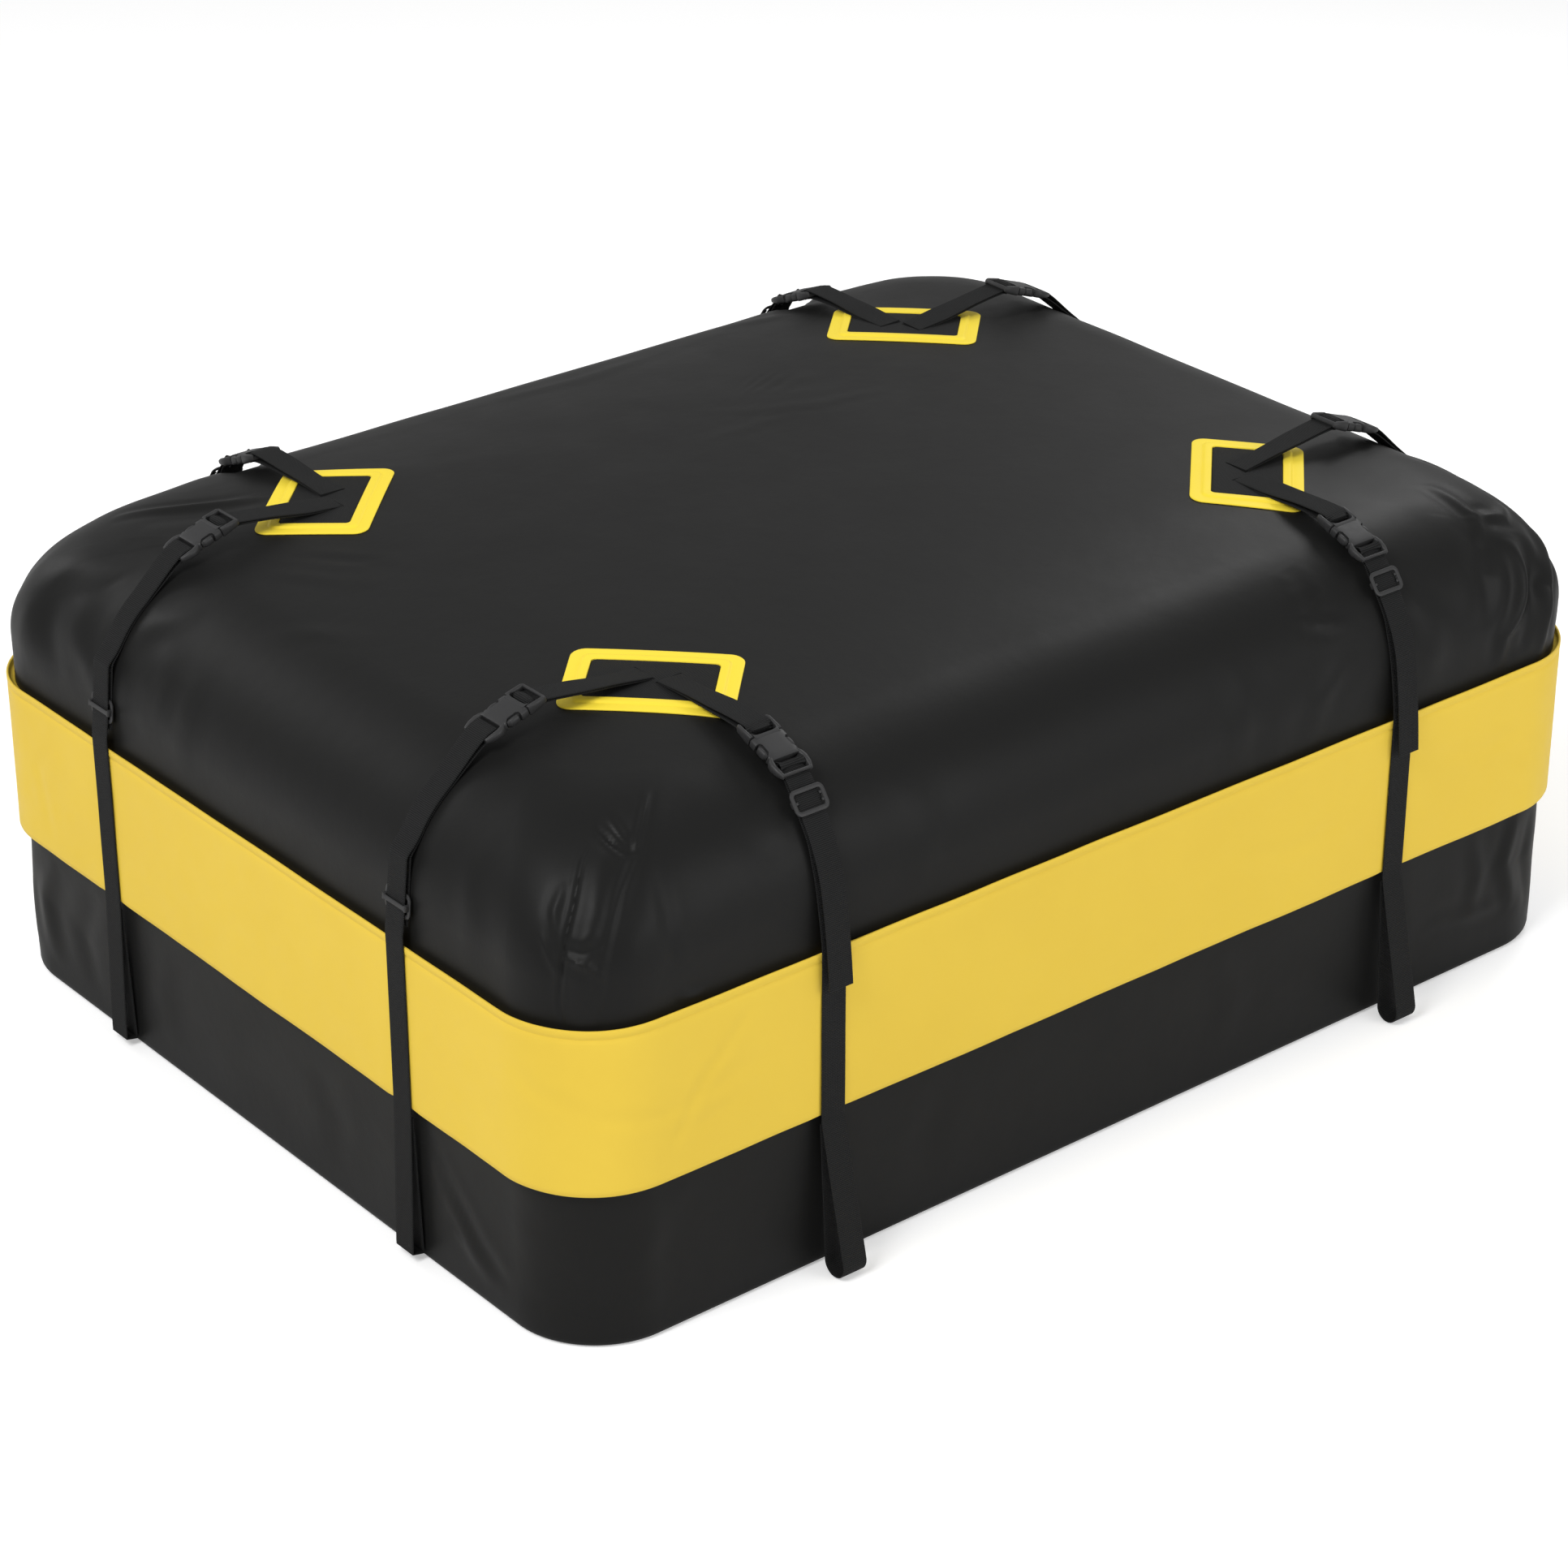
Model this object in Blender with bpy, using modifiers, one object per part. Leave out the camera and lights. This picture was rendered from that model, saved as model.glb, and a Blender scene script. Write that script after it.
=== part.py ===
"""Rooftop cargo bag: a soft, zipped luggage bag with eight tie-down straps for a vehicle roof.

Units are metres, Z is up. The origin is the centre of the bag's footprint, on the roof.
X runs along the bag, and Y across it.
"""

import math

import bmesh
import bpy
from mathutils import Matrix, Vector

# Overall size of the bag, measured over the yellow flap
BAG_LENGTH = 1.100
BAG_WIDTH = 0.847
BAG_HEIGHT = 0.435
LID_DEPTH = 0.223
GAP = 0.0003

# Coated fabric shell
WALL = 0.0022
CORNER_RADIUS = 0.077
CORNER_STEPS = 8
BOTTOM_EDGE_RADIUS = 0.006
SHOULDER_DROP = 0.1204
SHOULDER_START = BAG_HEIGHT - SHOULDER_DROP
SHOULDER_RUN = 0.1108
SHOULDER_RISE = 0.1044
SHOULDER_SWEEP = math.radians(81.2)
SHOULDER_STEPS = 8
CROWN_STEPS = 3
CROWN_EDGE = 0.80
CROWN_RADIUS_GROWTH = 0.15
CROWN_FULLNESS = 2.9
CREASE_DEPTH = 0.007
CREASE_TOP_DROP = 0.0300
CREASE_TOP = BAG_HEIGHT - CREASE_TOP_DROP
CREASE_BOTTOM_DROP = 0.0226
CREASE_BOTTOM = SHOULDER_START - CREASE_BOTTOM_DROP
CREASE_SHARPNESS = 3
SMOOTH_ANGLE = math.radians(35)

# Zip that joins base and lid on the front and the two ends, and the cloth hinge at the rear
ZIP_HEIGHT = BAG_HEIGHT - LID_DEPTH
ZIP_TAPE_WIDTH = 0.012
ZIP_TAPE_THICKNESS = 0.0020
ZIP_COIL_WIDTH = 0.0024
ZIP_COIL_PROUD = 0.0012
ZIP_CENTRE_GAP = 0.0012
HINGE_END = 0.050
SLIDER_LENGTH = 0.020
SLIDER_WIDTH = 0.0094
SLIDER_PLATE = 0.0012
SLIDER_WEB = 0.0006
SLIDER_REST = 0.014
PULL_LENGTH = 0.034
PULL_WIDTH = 0.0090
PULL_THICKNESS = 0.0012

# Yellow flap over the zip
FLAP_BELOW_SHOULDER = 0.0346
FLAP_TOP = SHOULDER_START - FLAP_BELOW_SHOULDER
FLAP_BELOW_ZIP = 0.0740
FLAP_BOTTOM = ZIP_HEIGHT - FLAP_BELOW_ZIP
FLAP_PROUD = 0.007
FLAP_THICKNESS = 0.0014
FLAP_HEM = 0.008
HOOK_STRIP_INSET = 0.0040
HOOK_STRIP_WIDTH = 0.0200
HOOK_STRIP_BOTTOM = FLAP_BOTTOM + HOOK_STRIP_INSET
HOOK_STRIP_TOP = HOOK_STRIP_BOTTOM + HOOK_STRIP_WIDTH

# Corner patches, turned 45 degrees, on the crown of the lid
PATCH_INSET_X = 0.227
PATCH_INSET_Y = 0.1955
PATCH_LENGTH = 0.135
PATCH_WIDTH = 0.095
PATCH_BORDER = 0.0175
PATCH_STEP = 0.0100
PATCH_CORNER = 0.012
PATCH_WINDOW_CORNER = 0.004
PATCH_EDGE_HEIGHT = 0.0014
PATCH_STEP_HEIGHT = 0.0026
PAD_HEIGHT = 0.0018
PAD_CLEARANCE = 0.0005
PAD_MIDDLE_SHARE = 0.5
PAD_CENTRE_SHARE = 0.04

# Webbing
WEBBING_WIDTH = 0.023
WEBBING = 0.0013
WEBBING_FIT = 0.00035

# Side-release buckle, along its own axis from the end bar of the plug to the end bar of the socket
BUCKLE_LENGTH = 0.0585
BUCKLE_BAR = 0.0026
BUCKLE_INNER_BAR = 0.0020
BUCKLE_BAR_HEIGHT = 0.0018
PLUG_WIDTH = 0.028
PLUG_THICKNESS = 0.0066
PLUG_BAR_AT = 0.0080
SLOT_DEPTH = 0.0046
SOCKET_START = 0.0160
SOCKET_WIDTH = 0.031
SOCKET_THICKNESS = 0.0090
SOCKET_WALL = 0.0015
SOCKET_SIDE = 0.0025
SOCKET_BOTTOM = 0.0400
SOCKET_WAIST_AT = 0.0400
SOCKET_WAIST = 0.0275
WINDOW_START = 0.0225
WINDOW_END = 0.0370
WINDOW_DEPTH = 0.0050
TAIL_SHOULDER_AT = 0.0460
TAIL_WIDTH = 0.0335
TAIL_END_WIDTH = 0.0285
TAIL_THICKNESS = 0.0066
TAIL_SHOULDER_LENGTH = 0.0020
TAIL_SHOULDER_SIDE = 0.0006
SOCKET_LIP = 0.0010
SLIDE_FIT = 0.0003
RELIEF_SIDE = 0.0002
HORN_LENGTH = 0.0060
HORN_TIP_LENGTH = 0.0025
HORN_TIP_INSET = 0.0025
HORN_INSET = 0.0008
PRONG_LENGTH = 0.0205
PRONG_WIDTH = 0.0042
PRONG_ROOT = 0.0010
PRONG_NECK = 0.0010
PRONG_RAMP = 0.0015
PRONG_TIP_LENGTH = 0.0050
PRONG_TIP_DEPTH = 0.0030
TONGUE_WIDTH = 0.0070
TONGUE_SHORTER = 0.0020

# Tri-glide adjuster
GLIDE_LENGTH = 0.0208
GLIDE_WIDTH = 0.0322
GLIDE_BAR = 0.0036
GLIDE_BAR_THICKNESS = 0.0016
GLIDE_CENTRE_BAR = 0.0040
GLIDE_CORNER_STEPS = 3

# Where the straps run, in their own upright planes
# The long sides carry the side straps, and the short sides carry the end straps.
SIDE_BUCKLE_INSET = 0.0892
SIDE_BUCKLE_LIFT = 0.0135
SIDE_BUCKLE_SLOPE = math.radians(21.5)
END_BUCKLE_INSET = 0.1270
END_BUCKLE_LIFT = 0.0235
END_BUCKLE_SLOPE = math.radians(19.0)
SIDE_START_BACK = 0.0070
END_START_BACK = -0.0015
STRAP_EASE = 0.0009
LAYER_GAP = 0.0004
END_LAYER_GAP = 0.0010
UPPER_BEND_ALONG = 0.45
UPPER_BEND_UP = 0.55
UPPER_LAYER_SPREAD = 0.0012
THREAD_STEPS = 6
UNDER_THREAD_START = 125
MITRE_LIMIT = 0.5
ZONE_SPARE = 0.0022
SIDE_ZONE_HIGH = 48.5
SIDE_ZONE_HIGH_LIFT = 0.0045
SIDE_ZONE_LOW = 29.5
SIDE_ZONE_LOW_LIFT = 0.0012
SIDE_GLIDE_REST = 0.0125
END_ZONE_HIGH = 17.0
END_ZONE_DROP = 0.0186
END_ZONE_LOW = SHOULDER_START - END_ZONE_DROP
END_GLIDE_REST = 0.0350
END_BENDS = (53.0, 44.0, 35.0, 26.0)
SIDE_REAR_BENDS = (20.65, 10.325)
LOOP_FLOOR = 0.0012
SIDE_LOOP = (0.0110, 0.0240)
END_LOOP = (0.0050, 0.0068)
LOOP_STEPS = 8
LOOP_JOIN_DROP = 0.0080
LOOP_JOIN = FLAP_BOTTOM - LOOP_JOIN_DROP
FREE_TAIL_LENGTH = 0.0300
FREE_TAIL_END = FLAP_TOP - FREE_TAIL_LENGTH
FREE_TAIL_OUT = 0.0100
FREE_TAIL_CURVE = 0.25

# Values that follow from those above
HALF_X = BAG_LENGTH / 2 - FLAP_PROUD
HALF_Y = BAG_WIDTH / 2 - FLAP_PROUD
PATCH_X = HALF_X - PATCH_INSET_X
PATCH_Y = HALF_Y - PATCH_INSET_Y
STRAP_X = PATCH_X - WEBBING_WIDTH / 2
STRAP_Y = PATCH_Y - WEBBING_WIDTH / 2
BASE_TOP = ZIP_HEIGHT - ZIP_CENTRE_GAP / 2 - ZIP_TAPE_WIDTH - GAP
LID_BOTTOM = ZIP_HEIGHT + ZIP_CENTRE_GAP / 2 + ZIP_TAPE_WIDTH + GAP
HINGE_HALF = HALF_X - CORNER_RADIUS - HINGE_END
SLOT_END = PLUG_BAR_AT + BUCKLE_INNER_BAR / 2 + SLOT_DEPTH
SHOULDER_END = SOCKET_START - GAP
BAR_HALF = BUCKLE_BAR_HEIGHT / 2
THREAD_TURN = math.hypot(BUCKLE_INNER_BAR / 2, BAR_HALF) + WEBBING_FIT + WEBBING / 2
BAR_WIDTH = WEBBING_WIDTH + 2 * GAP
MOUTH_WIDTH = SOCKET_WIDTH - 2 * SOCKET_SIDE
WALL_REST = GAP + WEBBING / 2
REAR_LAYER = WEBBING + 2 * WEBBING_FIT + GLIDE_BAR_THICKNESS
ZONE_OFFSET = WALL_REST + REAR_LAYER + ZONE_SPARE
END_FRONT_OFFSET = WALL_REST + WEBBING + END_LAYER_GAP


# General helpers

def clear_scene():
    for item in list(bpy.data.objects):
        bpy.data.objects.remove(item, do_unlink=True)


def new_collection(name):
    collection = bpy.data.collections.new(name)
    bpy.context.scene.collection.children.link(collection)
    return collection


def material(name, color, roughness, metallic=0.0):
    made = bpy.data.materials.new(name)
    made.use_nodes = True
    shader = made.node_tree.nodes["Principled BSDF"]
    shader.inputs["Base Color"].default_value = (*color, 1.0)
    shader.inputs["Roughness"].default_value = roughness
    shader.inputs["Metallic"].default_value = metallic
    return made


def outline_mesh(name, splines, half_depth):
    """Extrude flat closed outlines, the later ones as holes, into one welded mesh."""
    curve = bpy.data.curves.new(name, "CURVE")
    curve.dimensions = "2D"
    curve.fill_mode = "BOTH"
    curve.extrude = half_depth
    for points in splines:
        spline = curve.splines.new("POLY")
        spline.points.add(len(points) - 1)
        for target, (u, v) in zip(spline.points, points):
            target.co = (u, v, 0.0, 1.0)
        spline.use_cyclic_u = True
    holder = bpy.data.objects.new(name, curve)
    bpy.context.scene.collection.objects.link(holder)
    mesh = evaluated_mesh(holder)
    bpy.data.objects.remove(holder, do_unlink=True)
    bpy.data.curves.remove(curve)
    return mesh


def evaluated_mesh(item):
    """The object's final mesh, with its loose caps welded and its faces pointing out."""
    graph = bpy.context.evaluated_depsgraph_get()
    mesh = bpy.data.meshes.new_from_object(item.evaluated_get(graph))
    work = bmesh.new()
    work.from_mesh(mesh)
    bmesh.ops.remove_doubles(work, verts=work.verts, dist=0.00001)
    bmesh.ops.recalc_face_normals(work, faces=work.faces)
    work.to_mesh(mesh)
    work.free()
    return mesh


def box_mesh(name, boxes):
    """One mesh of several separate boxes, each given by its low and high corner."""
    work = bmesh.new()
    for low, high in boxes:
        centre = [(a + b) / 2 for a, b in zip(low, high)]
        size = [b - a for a, b in zip(low, high)]
        place = Matrix.Translation(centre) @ Matrix.Diagonal((*size, 1.0))
        bmesh.ops.create_cube(work, size=1.0, matrix=place)
    mesh = bpy.data.meshes.new(name)
    work.to_mesh(mesh)
    work.free()
    return mesh


def combined(name, mesh, steps):
    """Apply Boolean steps, each (operation, mesh), to a mesh and return the result."""
    body = bpy.data.objects.new(name, mesh)
    bpy.context.scene.collection.objects.link(body)
    tools = []
    for operation, tool_mesh in steps:
        tool = bpy.data.objects.new(name + "_tool", tool_mesh)
        tool.hide_render = True
        tool.display_type = "WIRE"
        cutters.objects.link(tool)
        modifier = body.modifiers.new(operation.lower(), "BOOLEAN")
        modifier.operation = operation
        modifier.object = tool
        tools.append(tool)
    bpy.context.view_layer.update()
    result = evaluated_mesh(body)
    for item in [body] + tools:
        bpy.data.objects.remove(item, do_unlink=True)
    return result


def loft_mesh(name, rings, closed_path=True, closed_profile=True, cap_ends=False):
    """Join rings of points with quads; the rings lie side by side round a profile."""
    mesh = bpy.data.meshes.new(name)
    work = bmesh.new()
    rows = [[work.verts.new(point) for point in ring] for ring in rings]
    count = len(rows[0])
    last_row = len(rows) if closed_profile else len(rows) - 1
    last_step = count if closed_path else count - 1
    for row in range(last_row):
        lower = rows[row]
        upper = rows[(row + 1) % len(rows)]
        for step in range(last_step):
            after = (step + 1) % count
            work.faces.new((lower[step], lower[after], upper[after], upper[step]))
    if cap_ends:
        work.faces.new([row[0] for row in rows])
        work.faces.new([row[-1] for row in rows])
    bmesh.ops.recalc_face_normals(work, faces=work.faces)
    work.to_mesh(mesh)
    work.free()
    return mesh


def place(name, mesh, finish, matrix=None, parent=None):
    """Put a piece in the bag's collection, at a place given in world coordinates."""
    if not mesh.materials:
        mesh.materials.append(finish)
    mesh.shade_smooth()
    mesh.set_sharp_from_angle(angle=SMOOTH_ANGLE)
    item = bpy.data.objects.new(name, mesh)
    parts.objects.link(item)
    if parent:
        item.parent = parent
        item.matrix_parent_inverse = parent.matrix_basis.inverted()
    item.matrix_basis = matrix or Matrix()
    return item


def rounded_rectangle(half_x, half_y, radius, steps, side_steps=1):
    """Points of a rounded rectangle, anticlockwise from the low end of its +X side."""
    points = []
    for turn, (sx, sy) in enumerate(((1, 1), (-1, 1), (-1, -1), (1, -1))):
        centre = (sx * (half_x - radius), sy * (half_y - radius))
        for step in range(steps + 1):
            angle = math.pi / 2 * (turn + step / steps)
            points.append((centre[0] + radius * math.cos(angle), centre[1] + radius * math.sin(angle)))
        next_sx, next_sy = ((-1, 1), (-1, -1), (1, -1), (1, 1))[turn]
        angle = math.pi / 2 * (turn + 1)
        start = Vector(points[-1])
        end = Vector((
            next_sx * (half_x - radius) + radius * math.cos(angle),
            next_sy * (half_y - radius) + radius * math.sin(angle),
        ))
        for step in range(1, side_steps):
            points.append(tuple(start.lerp(end, step / side_steps)))
    return points


def arc(centre, radius, start, end, steps):
    """Points of an arc from one angle to another, in degrees."""
    points = []
    for step in range(steps + 1):
        angle = math.radians(start + (end - start) * step / steps)
        points.append((centre[0] + radius * math.cos(angle), centre[1] + radius * math.sin(angle)))
    return points


def ribbon(path, thickness):
    """Closed outline of a strip of even thickness that follows an open path."""
    left = []
    right = []
    for index, point in enumerate(path):
        before = Vector(path[max(index - 1, 0)])
        after = Vector(path[min(index + 1, len(path) - 1)])
        here = Vector(point)
        into = (here - before).normalized() if index else (after - here).normalized()
        out = (after - here).normalized() if index < len(path) - 1 else into
        normal = Vector((-(into.y + out.y), into.x + out.x)).normalized()
        stretch = 1.0 / max(normal.dot(Vector((-into.y, into.x))), MITRE_LIMIT)
        shift = normal * (thickness / 2 * stretch)
        left.append(tuple(here + shift))
        right.append(tuple(here - shift))
    return left + right[::-1]


# The shape of the closed bag

def lid_ring(level):
    """Half length, half width, corner radius and height of the lid's outline.

    Level 0 is the start of the shoulder, 1 its end, and 2 the middle of the crown.
    """
    sweep = SHOULDER_SWEEP * min(level, 1.0)
    inset = SHOULDER_RUN * (1 - math.cos(sweep))
    height = SHOULDER_START + SHOULDER_RISE * math.sin(sweep)
    half_x = HALF_X - inset
    half_y = HALF_Y - inset
    if level <= 1.0:
        return half_x, half_y, CORNER_RADIUS, height
    share = level - 1.0
    keep = 1.0 - share
    radius = min(CORNER_RADIUS + CROWN_RADIUS_GROWTH * share, half_y * keep)
    height += (BAG_HEIGHT - height) * (1 - keep ** CROWN_FULLNESS)
    return half_x * keep, half_y * keep, radius, height


def inside_ring(x, y, ring):
    half_x, half_y, radius, _ = ring
    over_x = max(abs(x) - (half_x - radius), 0.0)
    over_y = max(abs(y) - (half_y - radius), 0.0)
    return math.hypot(over_x, over_y) <= radius


def lid_height(x, y):
    """Height of the lid's outer surface above a point of the floor plan."""
    low, high = 0.0, 1.999
    for _ in range(40):
        middle = (low + high) / 2
        if inside_ring(x, y, lid_ring(middle)):
            low = middle
        else:
            high = middle
    return lid_ring(low)[3]


def shoulder_point(half, degrees_round, offset):
    """A point above the shoulder in a strap's plane; half is the bag's half size there."""
    sweep = math.radians(degrees_round)
    normal = Vector((SHOULDER_RISE * math.cos(sweep), SHOULDER_RUN * math.sin(sweep))).normalized()
    out = half - SHOULDER_RUN * (1 - math.cos(sweep)) + normal.x * offset
    height = SHOULDER_START + SHOULDER_RISE * math.sin(sweep) + normal.y * offset
    return out, height


def wall_ring(offset, height):
    """The bag's upright wall at a height, moved outwards by an offset."""
    outline = rounded_rectangle(HALF_X + offset, HALF_Y + offset, CORNER_RADIUS + offset, CORNER_STEPS)
    return [(x, y, height) for x, y in outline]


def creased(ring, height):
    """Press a shallow fold into each corner of a ring of the lid, between two heights."""
    share = (height - CREASE_BOTTOM) / (CREASE_TOP - CREASE_BOTTOM)
    if not 0.0 < share < 1.0:
        return ring
    strength = CREASE_DEPTH * math.sin(math.pi * share)
    changed = []
    per_corner = CORNER_STEPS + 1
    for index, (x, y, z) in enumerate(ring):
        place_in_corner = (index % per_corner) / CORNER_STEPS - 0.5
        press = strength * max(0.0, math.cos(math.tau * place_in_corner)) ** CREASE_SHARPNESS
        inwards = press * math.sqrt(0.5)
        changed.append((x - math.copysign(inwards, x), y - math.copysign(inwards, y), z))
    return changed


def shell(name, mesh, finish):
    """Give an open outer skin the thickness of the fabric, inwards."""
    item = place(name, mesh, finish)
    wall = item.modifiers.new("fabric", "SOLIDIFY")
    wall.thickness = WALL
    wall.offset = -1.0
    wall.use_even_offset = True
    wall.use_quality_normals = True
    return item


def build_base():
    rings = []
    for step in range(3):
        angle = math.pi / 2 * step / 2
        inset = BOTTOM_EDGE_RADIUS * (1 - math.sin(angle))
        rings.append(wall_ring(-inset, BOTTOM_EDGE_RADIUS * (1 - math.cos(angle))))
    rings.append(wall_ring(0.0, BASE_TOP))
    mesh = loft_mesh("bag_base", rings, closed_profile=False)
    add_cap(mesh, len(rings[0]), 0)
    shell("bag_base", mesh, black_fabric)


def add_cap(mesh, count, first):
    """Close one ring of a loft with a flat face, and turn all faces outwards."""
    work = bmesh.new()
    work.from_mesh(mesh)
    work.verts.ensure_lookup_table()
    work.faces.new([work.verts[first + index] for index in range(count)])
    bmesh.ops.recalc_face_normals(work, faces=work.faces)
    lowest = min(work.verts, key=lambda vert: vert.co.z)
    highest = max(work.verts, key=lambda vert: vert.co.z)
    cap = max(work.faces, key=lambda face: len(face.verts))
    wanted = -1.0 if cap.calc_center_median().z < (lowest.co.z + highest.co.z) / 2 else 1.0
    if cap.normal.z * wanted < 0:
        bmesh.ops.reverse_faces(work, faces=work.faces)
    work.to_mesh(mesh)
    work.free()


def build_lid():
    rings = [wall_ring(0.0, LID_BOTTOM)]
    levels = [step / SHOULDER_STEPS for step in range(SHOULDER_STEPS + 1)]
    levels += [1.0 + CROWN_EDGE * (step + 1) / CROWN_STEPS for step in range(CROWN_STEPS)]
    for level in levels:
        half_x, half_y, radius, height = lid_ring(level)
        outline = rounded_rectangle(half_x, half_y, radius, CORNER_STEPS)
        rings.append(creased([(x, y, height) for x, y in outline], height))
    mesh = loft_mesh("bag_lid", rings, closed_profile=False)
    add_cap(mesh, len(rings[0]), (len(rings) - 1) * len(rings[0]))
    shell("bag_lid", mesh, black_fabric)


def zip_path(offset):
    """Plan of the zip: it starts and ends on the rear wall, beside the cloth hinge."""
    ring = rounded_rectangle(HALF_X + offset, HALF_Y + offset, CORNER_RADIUS + offset, CORNER_STEPS)
    per_corner = CORNER_STEPS + 1
    start = (-HINGE_HALF - GAP, HALF_Y + offset)
    end = (HINGE_HALF + GAP, HALF_Y + offset)
    return [start] + ring[per_corner:] + ring[:per_corner] + [end]


def build_zip():
    for name, side in (("zip_tape_lower", -1), ("zip_tape_upper", 1)):
        inner = ZIP_HEIGHT + side * ZIP_CENTRE_GAP / 2
        coil = inner + side * ZIP_COIL_WIDTH
        outer = inner + side * ZIP_TAPE_WIDTH
        profile = (
            (-ZIP_TAPE_THICKNESS, inner),
            (-ZIP_TAPE_THICKNESS, outer),
            (0.0, outer),
            (0.0, coil),
            (ZIP_COIL_PROUD, coil),
            (ZIP_COIL_PROUD, inner),
        )
        rings = [[(x, y, height) for x, y in zip_path(offset)] for offset, height in profile]
        place(name, loft_mesh(name, rings, closed_path=False, cap_ends=True), black_tape)
    hinge = box_mesh("rear_hinge_strip", [(
        (-HINGE_HALF, HALF_Y - ZIP_TAPE_THICKNESS, BASE_TOP + GAP),
        (HINGE_HALF, HALF_Y, LID_BOTTOM - GAP),
    )])
    place("rear_hinge_strip", hinge, black_fabric)


def build_sliders():
    """Two sliders on the front of the zip; each has a plate on both faces and a web between."""
    face = HALF_Y + ZIP_COIL_PROUD + GAP
    back = HALF_Y - ZIP_TAPE_THICKNESS - GAP
    plate = SLIDER_WIDTH / 2
    web = SLIDER_WEB / 2
    outline = [
        (face + SLIDER_PLATE, -plate), (face + SLIDER_PLATE, plate), (face, plate), (face, web),
        (back, web), (back, plate), (back - SLIDER_PLATE, plate), (back - SLIDER_PLATE, -plate),
        (back, -plate), (back, -web), (face, -web), (face, -plate),
    ]
    body = outline_mesh("zip_slider", [outline], SLIDER_LENGTH / 2)
    pull_face = face + SLIDER_PLATE + GAP
    pull = box_mesh("zip_pull", [(
        (-PULL_WIDTH / 2, -pull_face - PULL_THICKNESS, ZIP_HEIGHT + PULL_WIDTH / 2 - PULL_LENGTH),
        (PULL_WIDTH / 2, -pull_face, ZIP_HEIGHT + PULL_WIDTH / 2),
    )])
    turn = strap_frame(Vector((0, -1, 0)), Vector((0, 0, ZIP_HEIGHT)))
    for side, sign in (("left", -1), ("right", 1)):
        along = Matrix.Translation((sign * SLIDER_REST, 0, 0))
        place("zip_slider_" + side, body, dark_metal, along @ turn)
        place("zip_pull_" + side, pull, black_tape, along)


def build_flap():
    inner = FLAP_PROUD - FLAP_THICKNESS
    ease = FLAP_THICKNESS / 2
    profile = (
        (GAP, FLAP_TOP - FLAP_HEM),
        (GAP, FLAP_TOP - ease),
        (ease, FLAP_TOP),
        (FLAP_PROUD - ease, FLAP_TOP),
        (FLAP_PROUD, FLAP_TOP - ease),
        (FLAP_PROUD, FLAP_BOTTOM),
        (inner, FLAP_BOTTOM),
        (inner, FLAP_TOP - FLAP_HEM),
    )
    rings = [wall_ring(offset, height) for offset, height in profile]
    place("zip_flap", loft_mesh("zip_flap", rings), yellow_vinyl)
    strip = (
        (GAP, HOOK_STRIP_BOTTOM),
        (GAP, HOOK_STRIP_TOP),
        (inner - GAP, HOOK_STRIP_TOP),
        (inner - GAP, HOOK_STRIP_BOTTOM),
    )
    rings = [wall_ring(offset, height) for offset, height in strip]
    place("flap_hook_strip", loft_mesh("flap_hook_strip", rings), black_tape)


# Corner patches and the webbing pads in their windows

def patch_ring(sx, sy, half_length, half_width, radius, height, steps, side_steps):
    """A ring of a patch, laid on the lid at a height above its surface."""
    ring = []
    root = math.sqrt(0.5)
    for u, v in rounded_rectangle(half_length, half_width, radius, steps, side_steps):
        x = sx * (PATCH_X + root * (v + u))
        y = sy * (PATCH_Y + root * (v - u))
        ring.append((x, y, lid_height(x, y) + height))
    return ring


def build_patch(name, sx, sy):
    half_length = PATCH_LENGTH / 2
    half_width = PATCH_WIDTH / 2
    step_corner = PATCH_CORNER - PATCH_STEP / 2
    step_rise = PATCH_STEP_HEIGHT - PATCH_EDGE_HEIGHT
    sections = (
        (0.0, PATCH_CORNER, GAP),
        (0.0, PATCH_CORNER, PATCH_EDGE_HEIGHT),
        (PATCH_STEP, step_corner, PATCH_EDGE_HEIGHT),
        (PATCH_STEP + step_rise, step_corner, PATCH_STEP_HEIGHT),
        (PATCH_BORDER, PATCH_WINDOW_CORNER, PATCH_STEP_HEIGHT),
        (PATCH_BORDER, PATCH_WINDOW_CORNER, GAP),
    )
    rings = [
        patch_ring(sx, sy, half_length - inset, half_width - inset, radius, height, 2, 3)
        for inset, radius, height in sections
    ]
    place("corner_patch_" + name, loft_mesh("corner_patch_" + name, rings), yellow_vinyl)

    inset = PATCH_BORDER + PAD_CLEARANCE
    rings = [
        patch_ring(sx, sy, (half_length - inset) * share, (half_width - inset) * share,
                   PATCH_WINDOW_CORNER * share, height, 1, 2)
        for share, height in (
            (PAD_CENTRE_SHARE, GAP), (PAD_MIDDLE_SHARE, GAP), (1.0, GAP),
            (1.0, PAD_HEIGHT), (PAD_MIDDLE_SHARE, PAD_HEIGHT), (PAD_CENTRE_SHARE, PAD_HEIGHT),
        )
    ]
    mesh = loft_mesh("webbing_pad_" + name, rings, closed_profile=False)
    work = bmesh.new()
    work.from_mesh(mesh)
    bmesh.ops.holes_fill(work, edges=work.edges)
    bmesh.ops.recalc_face_normals(work, faces=work.faces)
    work.to_mesh(mesh)
    work.free()
    place("webbing_pad_" + name, mesh, black_webbing)


# The side-release buckle

def threaded_slots(end, direction):
    """Two slots beside a buckle's inner bar; end is the outer face of its end bar."""
    slots = []
    half = BAR_WIDTH / 2
    for start, stop in ((BUCKLE_BAR, PLUG_BAR_AT - BUCKLE_INNER_BAR / 2),
                        (PLUG_BAR_AT + BUCKLE_INNER_BAR / 2, SLOT_END)):
        low, high = sorted((end + direction * start, end + direction * stop))
        slots.append([(low, -half), (high, -half), (high, half), (low, half)])
    return slots


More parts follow.
